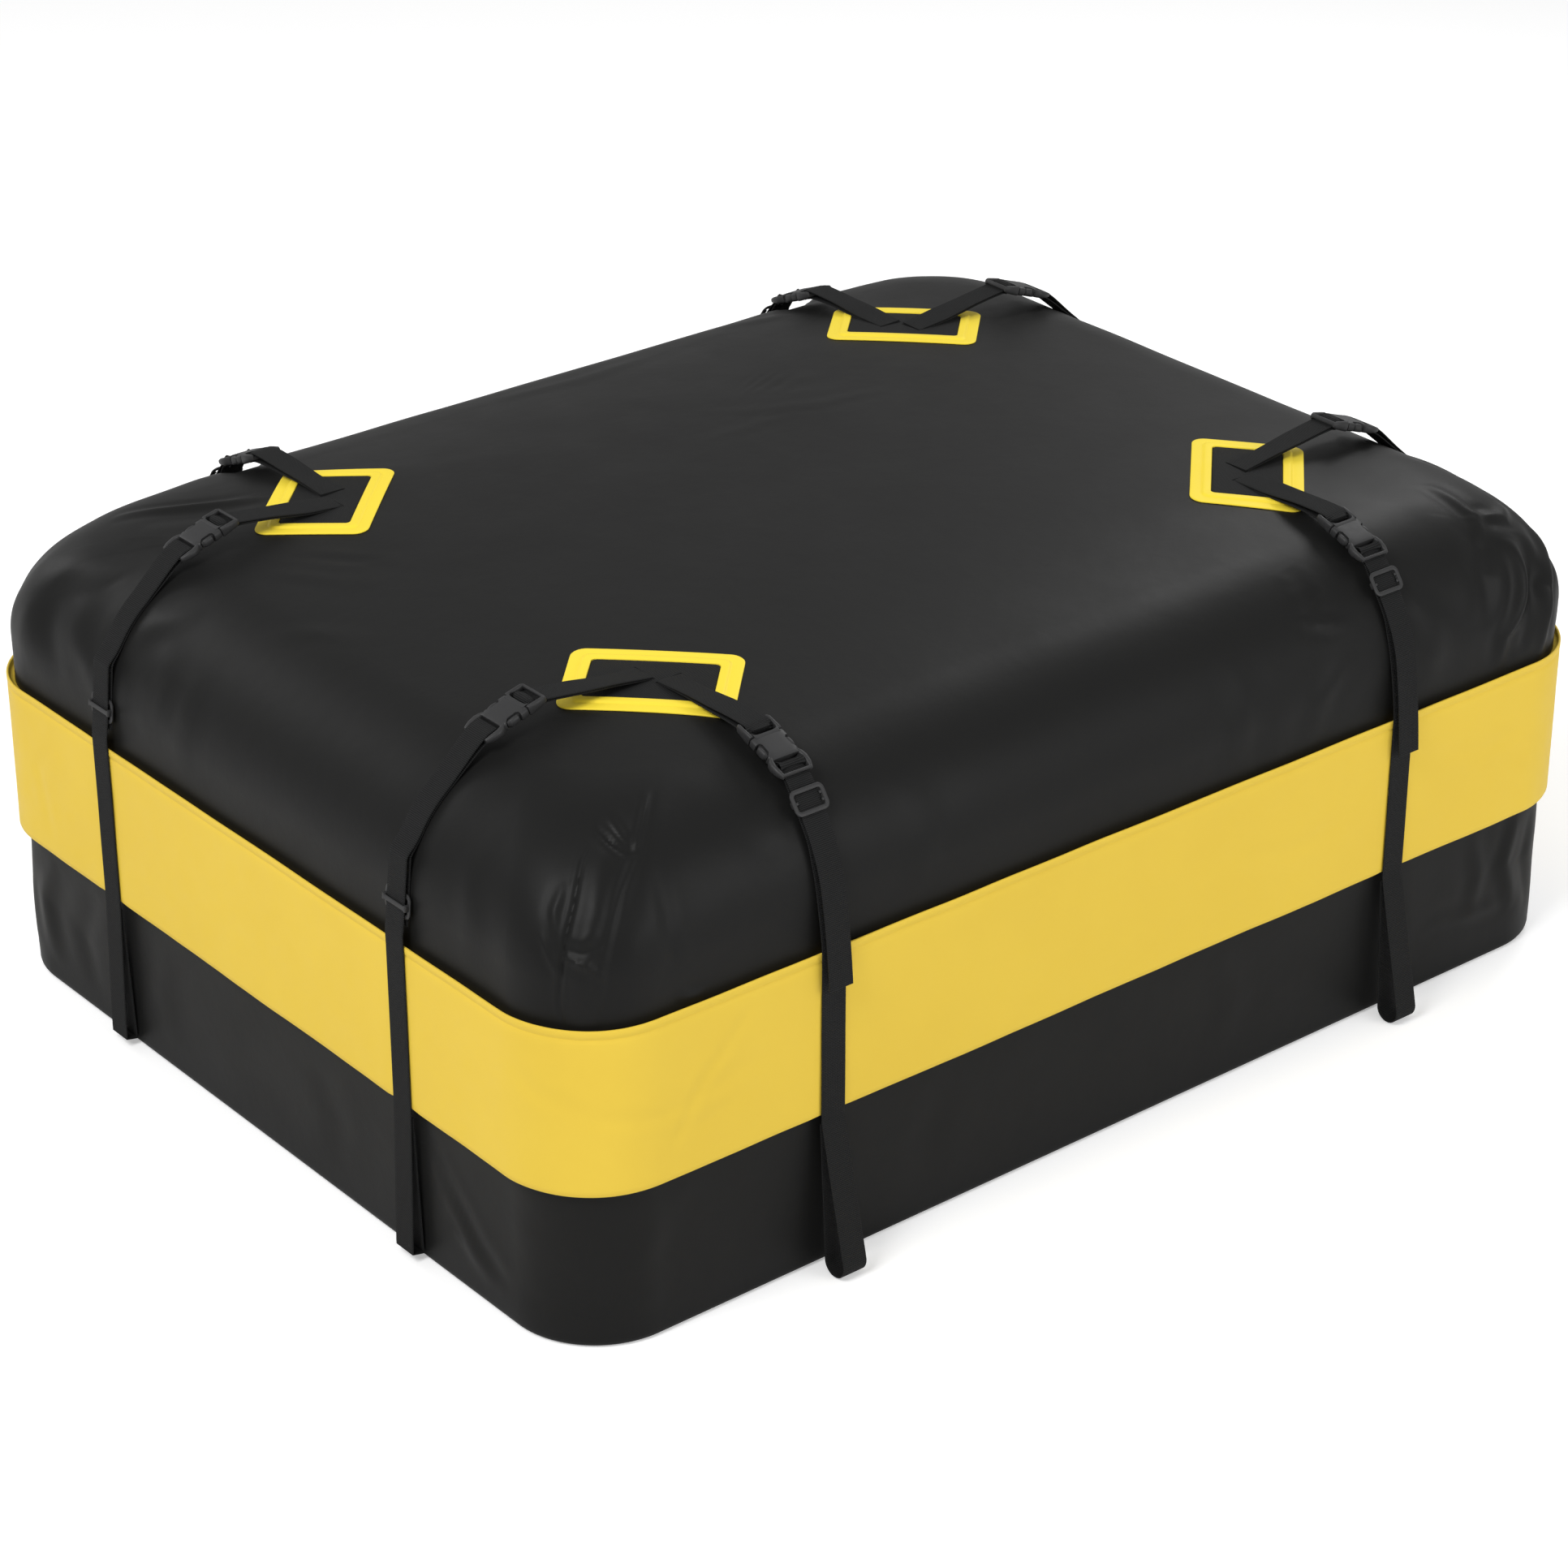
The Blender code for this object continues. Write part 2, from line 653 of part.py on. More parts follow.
def bar_relief(end, direction):
    """Boxes that thin a buckle's two webbing bars down to their own thickness."""
    low, high = sorted((end - direction * BUCKLE_BAR, end + direction * (SLOT_END + RELIEF_SIDE)))
    half = BAR_WIDTH / 2 + RELIEF_SIDE
    return [
        ((low, -half, BAR_HALF), (high, half, SOCKET_THICKNESS)),
        ((low, -half, -SOCKET_THICKNESS), (high, half, -BAR_HALF)),
    ]


def mirrored(outline):
    """Add the other half of an outline whose points run along its +Y side."""
    return outline + [(a, -b) for a, b in reversed(outline)]


def plug_mesh():
    half = PLUG_WIDTH / 2
    frame = mirrored([
        (0.0, half - HORN_TIP_INSET), (HORN_TIP_LENGTH, half - HORN_INSET),
        (HORN_LENGTH, half), (SHOULDER_END, half),
    ])
    body = outline_mesh("plug_frame", [frame] + threaded_slots(0.0, 1), PLUG_THICKNESS / 2)
    body = combined("plug_frame", body, [
        ("DIFFERENCE", box_mesh("plug_relief", bar_relief(0.0, 1))),
    ])
    prong_out = MOUTH_WIDTH / 2 - SLIDE_FIT
    tip = SHOULDER_END + PRONG_LENGTH
    root = SLOT_END + (SHOULDER_END - SLOT_END) / 2
    neck = prong_out - PRONG_NECK
    prongs = mirrored([
        (root, neck), (WINDOW_START, neck), (WINDOW_START + PRONG_RAMP, prong_out),
        (tip - PRONG_TIP_LENGTH, prong_out), (tip, prong_out - PRONG_TIP_DEPTH), (tip, prong_out - PRONG_WIDTH),
        (SHOULDER_END + PRONG_ROOT, prong_out - PRONG_WIDTH), (SHOULDER_END + PRONG_ROOT, TONGUE_WIDTH / 2),
        (tip - TONGUE_SHORTER, TONGUE_WIDTH / 2),
    ])
    depth = SOCKET_THICKNESS / 2 - SOCKET_WALL - SLIDE_FIT
    return combined("buckle_plug", body, [("UNION", outline_mesh("prongs", [prongs], depth))])


def socket_mesh():
    half = SOCKET_WIDTH / 2
    tail = TAIL_WIDTH / 2
    outline = mirrored([
        (SOCKET_START, half - SOCKET_LIP), (SOCKET_START + SOCKET_LIP, half), (WINDOW_END, half),
        (SOCKET_WAIST_AT, SOCKET_WAIST / 2), (TAIL_SHOULDER_AT, tail - TAIL_SHOULDER_SIDE),
        (TAIL_SHOULDER_AT + TAIL_SHOULDER_LENGTH, tail), (BUCKLE_LENGTH, TAIL_END_WIDTH / 2),
    ])
    slots = threaded_slots(BUCKLE_LENGTH, -1)
    body = outline_mesh("socket_outline", [outline] + slots, SOCKET_THICKNESS / 2)
    thick = SOCKET_THICKNESS
    cavity = SOCKET_THICKNESS / 2 - SOCKET_WALL
    mouth = MOUTH_WIDTH / 2
    window = half - WINDOW_DEPTH
    tail_top = TAIL_THICKNESS / 2
    shoulder = BUCKLE_LENGTH - SLOT_END - TAIL_SHOULDER_LENGTH
    return combined("buckle_socket", body, [
        ("DIFFERENCE", box_mesh("cavity", [((0.0, -mouth, -cavity), (SOCKET_BOTTOM, mouth, cavity))])),
        ("DIFFERENCE", box_mesh("windows", [
            ((WINDOW_START, window, -thick), (WINDOW_END, SOCKET_WIDTH, thick)),
            ((WINDOW_START, -SOCKET_WIDTH, -thick), (WINDOW_END, -window, thick)),
        ])),
        ("DIFFERENCE", box_mesh("tail_taper", [
            ((shoulder, -SOCKET_WIDTH, tail_top), (BUCKLE_LENGTH * 2, SOCKET_WIDTH, thick)),
            ((shoulder, -SOCKET_WIDTH, -thick), (BUCKLE_LENGTH * 2, SOCKET_WIDTH, -tail_top)),
        ])),
        ("DIFFERENCE", box_mesh("socket_relief", bar_relief(BUCKLE_LENGTH, -1))),
    ])


def glide_mesh():
    """Ring with two outer bars above the webbing and a centre bar below it."""
    half_length = GLIDE_LENGTH / 2
    half_width = GLIDE_WIDTH / 2
    hole = BAR_WIDTH / 2
    top = WEBBING / 2 + WEBBING_FIT + GLIDE_BAR_THICKNESS
    rim = rounded_rectangle(half_length, half_width, GLIDE_BAR, GLIDE_CORNER_STEPS)
    inside = [
        (GLIDE_BAR - half_length, -hole), (half_length - GLIDE_BAR, -hole),
        (half_length - GLIDE_BAR, hole), (GLIDE_BAR - half_length, hole),
    ]
    body = outline_mesh("glide_ring", [rim, inside], top)
    under = box_mesh("glide_under", [
        ((-GLIDE_LENGTH, -hole, -2 * top), (GLIDE_LENGTH, hole, top - GLIDE_BAR_THICKNESS)),
    ])
    bar = box_mesh("glide_bar", [
        ((-GLIDE_CENTRE_BAR / 2, -hole - GLIDE_BAR / 2, -top),
         (GLIDE_CENTRE_BAR / 2, hole + GLIDE_BAR / 2, GLIDE_BAR_THICKNESS - top)),
    ])
    return combined("tri_glide", body, [("DIFFERENCE", under), ("UNION", bar)])


# Straps, drawn in their own upright planes as (outward, height)

def strap_frame(outward, origin):
    """Frame of a strap's drawing: X outwards, Y up, and Z across the webbing."""
    across = outward.cross(Vector((0, 0, 1)))
    turn = Matrix((outward, Vector((0, 0, 1)), across)).transposed().to_4x4()
    return Matrix.Translation(origin) @ turn


def buckle_point(origin, slope, along, above):
    """A point in the strap's plane from its place along the buckle and above its middle."""
    return (
        origin[0] + along * math.cos(slope) + above * math.sin(slope),
        origin[1] - along * math.sin(slope) + above * math.cos(slope),
    )


def over_thread():
    """Webbing over the end bar, round the inner bar and back under both: (along, above)."""
    bend = arc((PLUG_BAR_AT, 0.0), THREAD_TURN, 90, -90, THREAD_STEPS)
    return [(0.0, THREAD_TURN)] + bend + [(0.0, -THREAD_TURN)]


def under_thread():
    """Webbing under the end bar, up and over the inner bar, and back under: (along, above)."""
    middle = (BUCKLE_BAR + PLUG_BAR_AT - BUCKLE_INNER_BAR / 2) / 2
    second = -THREAD_TURN - WEBBING - LAYER_GAP
    rise = [
        (0.0, -THREAD_TURN),
        (BUCKLE_BAR - LAYER_GAP, -THREAD_TURN),
        (middle - LAYER_GAP / 2, -BAR_HALF),
        (middle + LAYER_GAP / 2, BAR_HALF),
    ]
    back = [(PLUG_BAR_AT - BUCKLE_INNER_BAR / 2, -THREAD_TURN), (middle + LAYER_GAP, second), (0.0, second)]
    return rise + arc((PLUG_BAR_AT, 0.0), THREAD_TURN, UNDER_THREAD_START, -90, THREAD_STEPS) + back


def upper_strap_path(origin, slope, start, thread):
    """Path of a fixed strap: out from the pad, round the plug's bar, and back under itself."""
    turned = [buckle_point(origin, slope, along, above) for along, above in thread]
    layer = WEBBING + LAYER_GAP
    top = (start[0], start[1] + layer)
    bend_along = start[0] + (turned[0][0] - start[0]) * UPPER_BEND_ALONG
    bend_up = start[1] + (turned[0][1] - start[1]) * UPPER_BEND_UP
    upper_bend = (bend_along, bend_up + layer + UPPER_LAYER_SPREAD)
    return [top, upper_bend] + turned + [(bend_along, bend_up), start]


def tail_path(origin, slope, thread):
    """Front and rear ends of the webbing at the socket, in that order, as one path."""
    return [buckle_point(origin, slope, BUCKLE_LENGTH - along, above) for along, above in thread]


def loop_path(half, front, loop):
    """From the flap down, round the tie loop (its radius, and how far out it hangs), and up to its seam."""
    radius, out = loop
    centre = (half + out, LOOP_FLOOR + WEBBING / 2 + radius)
    inner = front - WEBBING - LAYER_GAP
    outer_lean = math.degrees(math.atan2(centre[0] + radius - front, LOOP_JOIN - centre[1]))
    inner_lean = math.degrees(math.atan2(centre[0] - radius - inner, LOOP_JOIN - centre[1]))
    bend = arc(centre, radius, outer_lean, -180 + inner_lean, LOOP_STEPS)
    return [(front, LOOP_JOIN)] + bend + [(inner, LOOP_JOIN)]


def glide_zone(zone):
    """Ends of the straight stretch on which the adjuster slides, and the step to its rear layer."""
    high, low = Vector(zone[0]), Vector(zone[1])
    direction = (low - high).normalized()
    return high, low, Vector((direction.y, -direction.x)) * REAR_LAYER


def side_lower_path():
    """Long-side strap: a free tail in front, and the rear layer running down to the loop."""
    half = HALF_Y
    high, low, back = glide_zone(SIDE_ZONE)
    flap = half + FLAP_PROUD + GAP + WEBBING / 2
    layer = WEBBING + LAYER_GAP
    front = [
        (half + FLAP_PROUD + FREE_TAIL_OUT, FREE_TAIL_END),
        (flap + layer + FREE_TAIL_OUT * FREE_TAIL_CURVE, (FREE_TAIL_END + FLAP_TOP) / 2),
        (flap + layer, FLAP_TOP - FLAP_HEM),
        (flap + layer, FLAP_TOP + FLAP_HEM),
        shoulder_point(half, 0.0, ZONE_OFFSET),
        shoulder_point(half, SIDE_ZONE_LOW / 2, ZONE_OFFSET),
        tuple(low), tuple(high),
    ]
    rear = [tuple(high + back), tuple(low + back)]
    rear += [shoulder_point(half, angle, WALL_REST + LAYER_GAP) for angle in SIDE_REAR_BENDS]
    rear += [(flap - layer / 4, FLAP_TOP + FLAP_HEM), (flap, FLAP_TOP - FLAP_HEM), (flap, FLAP_BOTTOM)]
    thread = tail_path(SIDE_BUCKLE, SIDE_BUCKLE_SLOPE, under_thread())
    return front + thread + rear + loop_path(half, flap, SIDE_LOOP)


def end_lower_path():
    """Short-side strap: the front layer runs down to the loop, and the rear one ends above the flap."""
    half = HALF_X
    high, low, back = glide_zone(END_ZONE)
    flap = half + FLAP_PROUD + GAP + WEBBING / 2
    bends = [shoulder_point(half, angle, END_FRONT_OFFSET) for angle in END_BENDS]
    rear = [shoulder_point(half, angle, WALL_REST + LAYER_GAP) for angle in END_BENDS]
    down = [
        (flap, FLAP_BOTTOM), (flap, FLAP_TOP - FLAP_HEM), (flap + WEBBING / 4, FLAP_TOP + FLAP_HEM),
        tuple(low), tuple(high),
    ]
    thread = tail_path(END_BUCKLE, END_BUCKLE_SLOPE, over_thread())
    rear += [tuple(high + back), tuple(low + back)]
    return loop_path(half, flap, END_LOOP)[::-1] + down + bends[::-1] + thread + rear


def build_station(corner, kind, outward, across_at):
    """One tie-down: fixed strap, plug, and the loose half with its socket, strap and adjuster."""
    name = corner + "_" + kind
    side = kind == "side"
    origin = SIDE_BUCKLE if side else END_BUCKLE
    slope = SIDE_BUCKLE_SLOPE if side else END_BUCKLE_SLOPE
    zone = SIDE_ZONE if side else END_ZONE
    rest = SIDE_GLIDE_REST if side else END_GLIDE_REST
    plane = strap_frame(outward, across_at)

    axis = Vector(outward) * math.cos(slope) - Vector((0, 0, 1)) * math.sin(slope)
    normal = Vector(outward) * math.sin(slope) + Vector((0, 0, 1)) * math.cos(slope)
    turn = Matrix((axis, normal.cross(axis), normal)).transposed().to_4x4()
    buckle = Matrix.Translation(plane @ Vector((*origin, 0.0))) @ turn
    anchor = bpy.data.objects.new("buckle_axis_" + name, None)
    anchor.matrix_basis = buckle
    parts.objects.link(anchor)

    place("upper_strap_" + name, meshes["upper_" + kind], black_webbing, plane)
    place("buckle_plug_" + name, meshes["plug"], grey_plastic, buckle)
    place("buckle_socket_" + name, meshes["socket"], grey_plastic, buckle, anchor)
    place("lower_strap_" + name, meshes["lower_" + kind], black_webbing, plane, anchor)

    high, low = Vector(zone[0]), Vector(zone[1])
    direction = (low - high).normalized()
    centre = high + direction * rest
    along = Vector(outward) * direction.x + Vector((0, 0, 1)) * direction.y
    away = Vector(outward) * -direction.y + Vector((0, 0, 1)) * direction.x
    if not side:
        away.negate()
    turn = Matrix((along, away.cross(along), away)).transposed().to_4x4()
    glide = Matrix.Translation(plane @ Vector((centre.x, centre.y, 0.0))) @ turn
    place("tri_glide_" + name, meshes["glide"], grey_plastic, glide, anchor)


# Places in the straps' planes that follow from the lid's surface
SIDE_ZONE = (
    shoulder_point(HALF_Y, SIDE_ZONE_HIGH, ZONE_OFFSET + SIDE_ZONE_HIGH_LIFT),
    shoulder_point(HALF_Y, SIDE_ZONE_LOW, ZONE_OFFSET + SIDE_ZONE_LOW_LIFT),
)
END_ZONE = (
    shoulder_point(HALF_X, END_ZONE_HIGH, ZONE_OFFSET),
    (HALF_X + ZONE_OFFSET, END_ZONE_LOW),
)
SIDE_BUCKLE = (HALF_Y - SIDE_BUCKLE_INSET, lid_height(0.0, HALF_Y - SIDE_BUCKLE_INSET) + SIDE_BUCKLE_LIFT)
END_BUCKLE = (HALF_X - END_BUCKLE_INSET, lid_height(HALF_X - END_BUCKLE_INSET, 0.0) + END_BUCKLE_LIFT)
STRAP_FLOOR = lid_height(PATCH_X, PATCH_Y) + PAD_HEIGHT + GAP + WEBBING / 2 + STRAP_EASE

clear_scene()
parts = new_collection("rooftop_cargo_bag")
cutters = new_collection("cutters")

black_fabric = material("black_coated_fabric", (0.033, 0.033, 0.031), 0.55)
black_tape = material("black_tape", (0.02, 0.02, 0.02), 0.8)
black_webbing = material("black_webbing", (0.021, 0.022, 0.022), 0.8)
yellow_vinyl = material("yellow_vinyl", (0.84, 0.60, 0.09), 0.5)
grey_plastic = material("grey_plastic", (0.072, 0.072, 0.072), 0.5)
dark_metal = material("dark_metal", (0.15, 0.15, 0.15), 0.35, 1.0)

build_base()
build_lid()
build_zip()
build_sliders()
build_flap()

side_start = (PATCH_Y + SIDE_START_BACK, STRAP_FLOOR)
end_start = (PATCH_X + END_START_BACK, STRAP_FLOOR)
paths = {
    "upper_side": upper_strap_path(SIDE_BUCKLE, SIDE_BUCKLE_SLOPE, side_start, over_thread()),
    "upper_end": upper_strap_path(END_BUCKLE, END_BUCKLE_SLOPE, end_start, under_thread()),
    "lower_side": side_lower_path(),
    "lower_end": end_lower_path(),
}
meshes = {
    key: outline_mesh(key, [ribbon(path, WEBBING)], WEBBING_WIDTH / 2) for key, path in paths.items()
}
meshes["plug"] = plug_mesh()
meshes["socket"] = socket_mesh()
meshes["glide"] = glide_mesh()

corners = (("front_left", -1, -1), ("front_right", 1, -1), ("rear_left", -1, 1), ("rear_right", 1, 1))
for corner, sx, sy in corners:
    build_patch(corner, sx, sy)
    build_station(corner, "end", Vector((sx, 0, 0)), Vector((0, sy * STRAP_Y, 0)))
    build_station(corner, "side", Vector((0, sy, 0)), Vector((sx * STRAP_X, 0, 0)))
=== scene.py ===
"""Looks of a soft rooftop cargo bag: coated fabric, vinyl flap and patches, webbing and buckles.

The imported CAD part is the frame. Lengths are metres, Z is up, and X runs along the bag.
"""

import math

import bmesh
import bpy
import numpy as np
from mathutils import Matrix, Vector, noise


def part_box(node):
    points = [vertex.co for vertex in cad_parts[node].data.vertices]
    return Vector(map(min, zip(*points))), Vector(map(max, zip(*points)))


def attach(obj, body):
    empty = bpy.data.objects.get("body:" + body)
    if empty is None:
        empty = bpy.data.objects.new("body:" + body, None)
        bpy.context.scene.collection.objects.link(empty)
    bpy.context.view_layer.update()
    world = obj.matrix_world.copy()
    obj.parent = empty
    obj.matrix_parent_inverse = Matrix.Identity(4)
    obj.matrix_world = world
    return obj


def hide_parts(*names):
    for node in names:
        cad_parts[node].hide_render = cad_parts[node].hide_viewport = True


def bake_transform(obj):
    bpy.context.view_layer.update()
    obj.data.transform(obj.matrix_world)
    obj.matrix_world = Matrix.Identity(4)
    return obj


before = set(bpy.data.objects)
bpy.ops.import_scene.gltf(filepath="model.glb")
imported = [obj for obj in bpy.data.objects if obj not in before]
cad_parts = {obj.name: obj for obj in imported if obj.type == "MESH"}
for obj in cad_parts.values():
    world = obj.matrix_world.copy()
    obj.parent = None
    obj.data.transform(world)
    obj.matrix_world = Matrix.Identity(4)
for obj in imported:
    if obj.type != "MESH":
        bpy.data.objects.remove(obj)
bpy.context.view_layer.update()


# Camera
# It stands at the photograph's place: a long lens, low over the left front corner.
# The lens and the place were fitted to the bag's edges, straps and patches.

camera_data = bpy.data.cameras.new("photo_camera")
camera_data.sensor_width = 36.0
camera_data.lens = 97.98
camera = bpy.data.objects.new("photo_camera", camera_data)
camera.location = (-2.0759, -2.5352, 1.8410)
camera.rotation_euler = (math.radians(62.67), 0.0, math.radians(-39.23))
bpy.context.scene.collection.objects.link(camera)
bpy.context.scene.camera = camera


# Studio
# A pale floor, an even white surround and four broad lamps, as for a catalogue picture.
# The surround looks white to the camera and lights the bag at a plain level.

SURROUND_LIGHT = 0.48
FLOOR_HALF = 20.0
FLOOR_GLOW = 0.34

bpy.context.scene.view_settings.view_transform = "Standard"

surround = bpy.data.worlds.new("studio_surround")
surround.use_nodes = True
bpy.context.scene.world = surround
nodes, links = surround.node_tree.nodes, surround.node_tree.links
nodes.clear()
ray = nodes.new("ShaderNodeLightPath")
seen, lighting = nodes.new("ShaderNodeBackground"), nodes.new("ShaderNodeBackground")
for background, strength in ((seen, 1.0), (lighting, SURROUND_LIGHT)):
    background.inputs["Color"].default_value = (1.0, 1.0, 1.0, 1.0)
    background.inputs["Strength"].default_value = strength
choice = nodes.new("ShaderNodeMixShader")
output = nodes.new("ShaderNodeOutputWorld")
links.new(ray.outputs["Is Camera Ray"], choice.inputs["Fac"])
links.new(lighting.outputs["Background"], choice.inputs[1])
links.new(seen.outputs["Background"], choice.inputs[2])
links.new(choice.outputs["Shader"], output.inputs["Surface"])


def soft_lamp(name, place, aim, size, power):
    """Square area lamp at a place, turned towards a point."""
    data = bpy.data.lights.new(name, "AREA")
    data.size = size
    data.energy = power
    lamp = bpy.data.objects.new(name, data)
    lamp.location = place
    lamp.rotation_euler = (Vector(aim) - Vector(place)).to_track_quat("-Z", "Y").to_euler()
    bpy.context.scene.collection.objects.link(lamp)


soft_lamp("key_lamp", (-2.7, -0.75, 3.2), (0.0, 0.0, 0.2), 1.6, 85.0)
soft_lamp("long_side_lamp", (1.2, -3.8, 1.6), (0.1, 0.0, 0.25), 2.0, 49.0)
soft_lamp("sheen_lamp", (2.15, 0.70, 1.95), (0.15, -0.35, 0.43), 0.8, 14.5)
soft_lamp("left_rim_lamp", (-1.1, 2.9, 1.5), (-0.45, 0.25, 0.35), 1.2, 13.5)

floor_mesh = bpy.data.meshes.new("studio_floor")
floor_corners = [(sx * FLOOR_HALF, sy * FLOOR_HALF, 0) for sx, sy in ((-1, -1), (1, -1), (1, 1), (-1, 1))]
floor_mesh.from_pydata(floor_corners, [], [(0, 1, 2, 3)])
floor = bpy.data.objects.new("studio_floor", floor_mesh)
bpy.context.scene.collection.objects.link(floor)
floor_finish = bpy.data.materials.new("pale_floor")
floor_finish.use_nodes = True
nodes, links = floor_finish.node_tree.nodes, floor_finish.node_tree.links
floor_shader = nodes["Principled BSDF"]
floor_shader.inputs["Base Color"].default_value = (0.90, 0.90, 0.90, 1.0)
floor_shader.inputs["Roughness"].default_value = 0.9
floor_shader.inputs["Specular IOR Level"].default_value = 0.1
floor_shader.inputs["Emission Color"].default_value = (1.0, 1.0, 1.0, 1.0)
ray = nodes.new("ShaderNodeLightPath")
glow = nodes.new("ShaderNodeMath")
glow.operation = "MULTIPLY"
glow.inputs[1].default_value = FLOOR_GLOW
links.new(ray.outputs["Is Camera Ray"], glow.inputs[0])
links.new(glow.outputs["Value"], floor_shader.inputs["Emission Strength"])
floor_mesh.materials.append(floor_finish)


# Coated fabric shells
# Base and lid are black coated polyester, welded into two tubs that the zip joins.
# The lid has rounded shoulders and a slight crown, and folds gather at its four corners.

lid_low, lid_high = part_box("bag_lid")
base_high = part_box("bag_base")[1]
HALF_X, HALF_Y = lid_high[0], lid_high[1]
CORNER_RADIUS = 0.077
BAG_TOP = 0.435
SHOULDER_START = BAG_TOP - 0.1204
SHOULDER_RUN = 0.1108
SHOULDER_RISE = 0.1044
SHOULDER_SWEEP = math.radians(81.2)
CROWN_RADIUS_GROWTH = 0.15
CROWN_FULLNESS = 2.9
FABRIC = 0.0022
FABRIC_SWELL = 0.0018
REAR_FULLNESS, REAR_FULLNESS_AT, REAR_FULLNESS_SPREAD = 0.0038, 0.418, 0.030
SAME_PLACE = 0.000001
STRAP_X = sum(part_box("buckle_plug_front_right_side")[i][0] for i in (0, 1)) / 2
STRAP_Y = sum(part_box("buckle_plug_rear_right_end")[i][1] for i in (0, 1)) / 2
PATCH_X, PATCH_Y = STRAP_X + 0.0115, STRAP_Y + 0.0115
PATCH_HALF_LENGTH, PATCH_HALF_WIDTH = 0.0675, 0.0475
CORNER_SIGNS = ((1, 1), (-1, 1), (-1, -1), (1, -1))
CORNER_NAMES = ("rear_right", "rear_left", "front_left", "front_right")


def ring_places(corner_steps, long_steps, short_steps, crowding=0.08):
    """Places round an outline, anticlockwise: corner number, share of its turn, share of the next side."""
    places = []
    for turn in range(4):
        places += [(turn, step / corner_steps, 0.0) for step in range(corner_steps)]
        steps = long_steps if turn in (0, 2) else short_steps
        for step in range(steps):
            share = step / steps
            places.append((turn, 1.0, share - crowding * math.sin(math.tau * share)))
    return places


def ring_points(places, half_x, half_y, radius):
    """Points and outward directions at the given places of a rounded rectangle."""
    points, normals = [], []
    for turn, share, along in places:
        angle = math.pi / 2 * (turn + share)
        out = np.array((math.cos(angle), math.sin(angle)))
        inner = np.array((half_x - radius, half_y - radius))
        here = inner * CORNER_SIGNS[turn] + radius * out
        after = inner * CORNER_SIGNS[(turn + 1) % 4] + radius * out
        points.append(here + (after - here) * along)
        normals.append(out)
    return np.array(points), np.array(normals)


def lid_row(level):
    """Half length, half width, corner radius, height and normal of the lid; level 1 ends the shoulder."""
    sweep = SHOULDER_SWEEP * min(level, 1.0)
    inset = SHOULDER_RUN * (1 - math.cos(sweep))
    height = SHOULDER_START + SHOULDER_RISE * math.sin(sweep)
    normal = Vector((SHOULDER_RISE * math.cos(sweep), SHOULDER_RUN * math.sin(sweep))).normalized()
    half_x, half_y, radius = HALF_X - inset, HALF_Y - inset, CORNER_RADIUS
    if level > 1.0:
        keep = 2.0 - level
        half_x, half_y = half_x * keep, half_y * keep
        radius = min(CORNER_RADIUS + CROWN_RADIUS_GROWTH * (1 - keep), half_y * 0.9)
        height += (BAG_TOP - height) * (1 - keep ** CROWN_FULLNESS)
        normal = Vector((normal.x * keep, 1.0)).normalized()
    return half_x, half_y, radius, height, normal


def corner_distances(places):
    """Signed distance along the wall from the middle of each corner, anticlockwise, for each place."""
    wall, _ = ring_points(places, HALF_X, HALF_Y, CORNER_RADIUS)
    steps = np.linalg.norm(np.roll(wall, -1, axis=0) - wall, axis=1)
    run = np.concatenate(([0.0], np.cumsum(steps)[:-1]))
    total = steps.sum()
    found = []
    for turn in range(4):
        middle = np.argmin([abs(t - turn) + abs(share - 0.5) + along for t, share, along in places])
        offset = run - run[middle]
        found.append((offset + total / 2) % total - total / 2)
    return np.array(found)


MILLIMETRES = 1000.0
FOLD_SHOULDER = 0.45


def fold(across, up, line, width, depth):
    """Height of one fold over a grid; its line of (across, up) points, width and depth are in millimetres."""
    line, width, depth = np.array(line, float) / MILLIMETRES, width / MILLIMETRES, depth / MILLIMETRES
    lengths = np.linalg.norm(np.diff(line, axis=0), axis=1)
    starts = np.concatenate(([0.0], np.cumsum(lengths)))
    best = np.full(across.shape, 1e9)
    share = np.zeros(across.shape)
    for index, length in enumerate(lengths):
        direction = (line[index + 1] - line[index]) / length
        dx, dy = across - line[index][0], up - line[index][1]
        along = np.clip(dx * direction[0] + dy * direction[1], 0, length)
        distance = np.hypot(dx - along * direction[0], dy - along * direction[1])
        nearer = distance < best
        best = np.where(nearer, distance, best)
        share = np.where(nearer, (starts[index] + along) / starts[-1], share)
    fade = np.sin(math.pi * np.clip(share, 0.0, 1.0)) ** 0.7
    valley = -np.exp(-((best / width) ** 2))
    ridges = FOLD_SHOULDER * np.exp(-(((best - 1.9 * width) / (1.1 * width)) ** 2))
    return depth * fade * (valley + ridges)


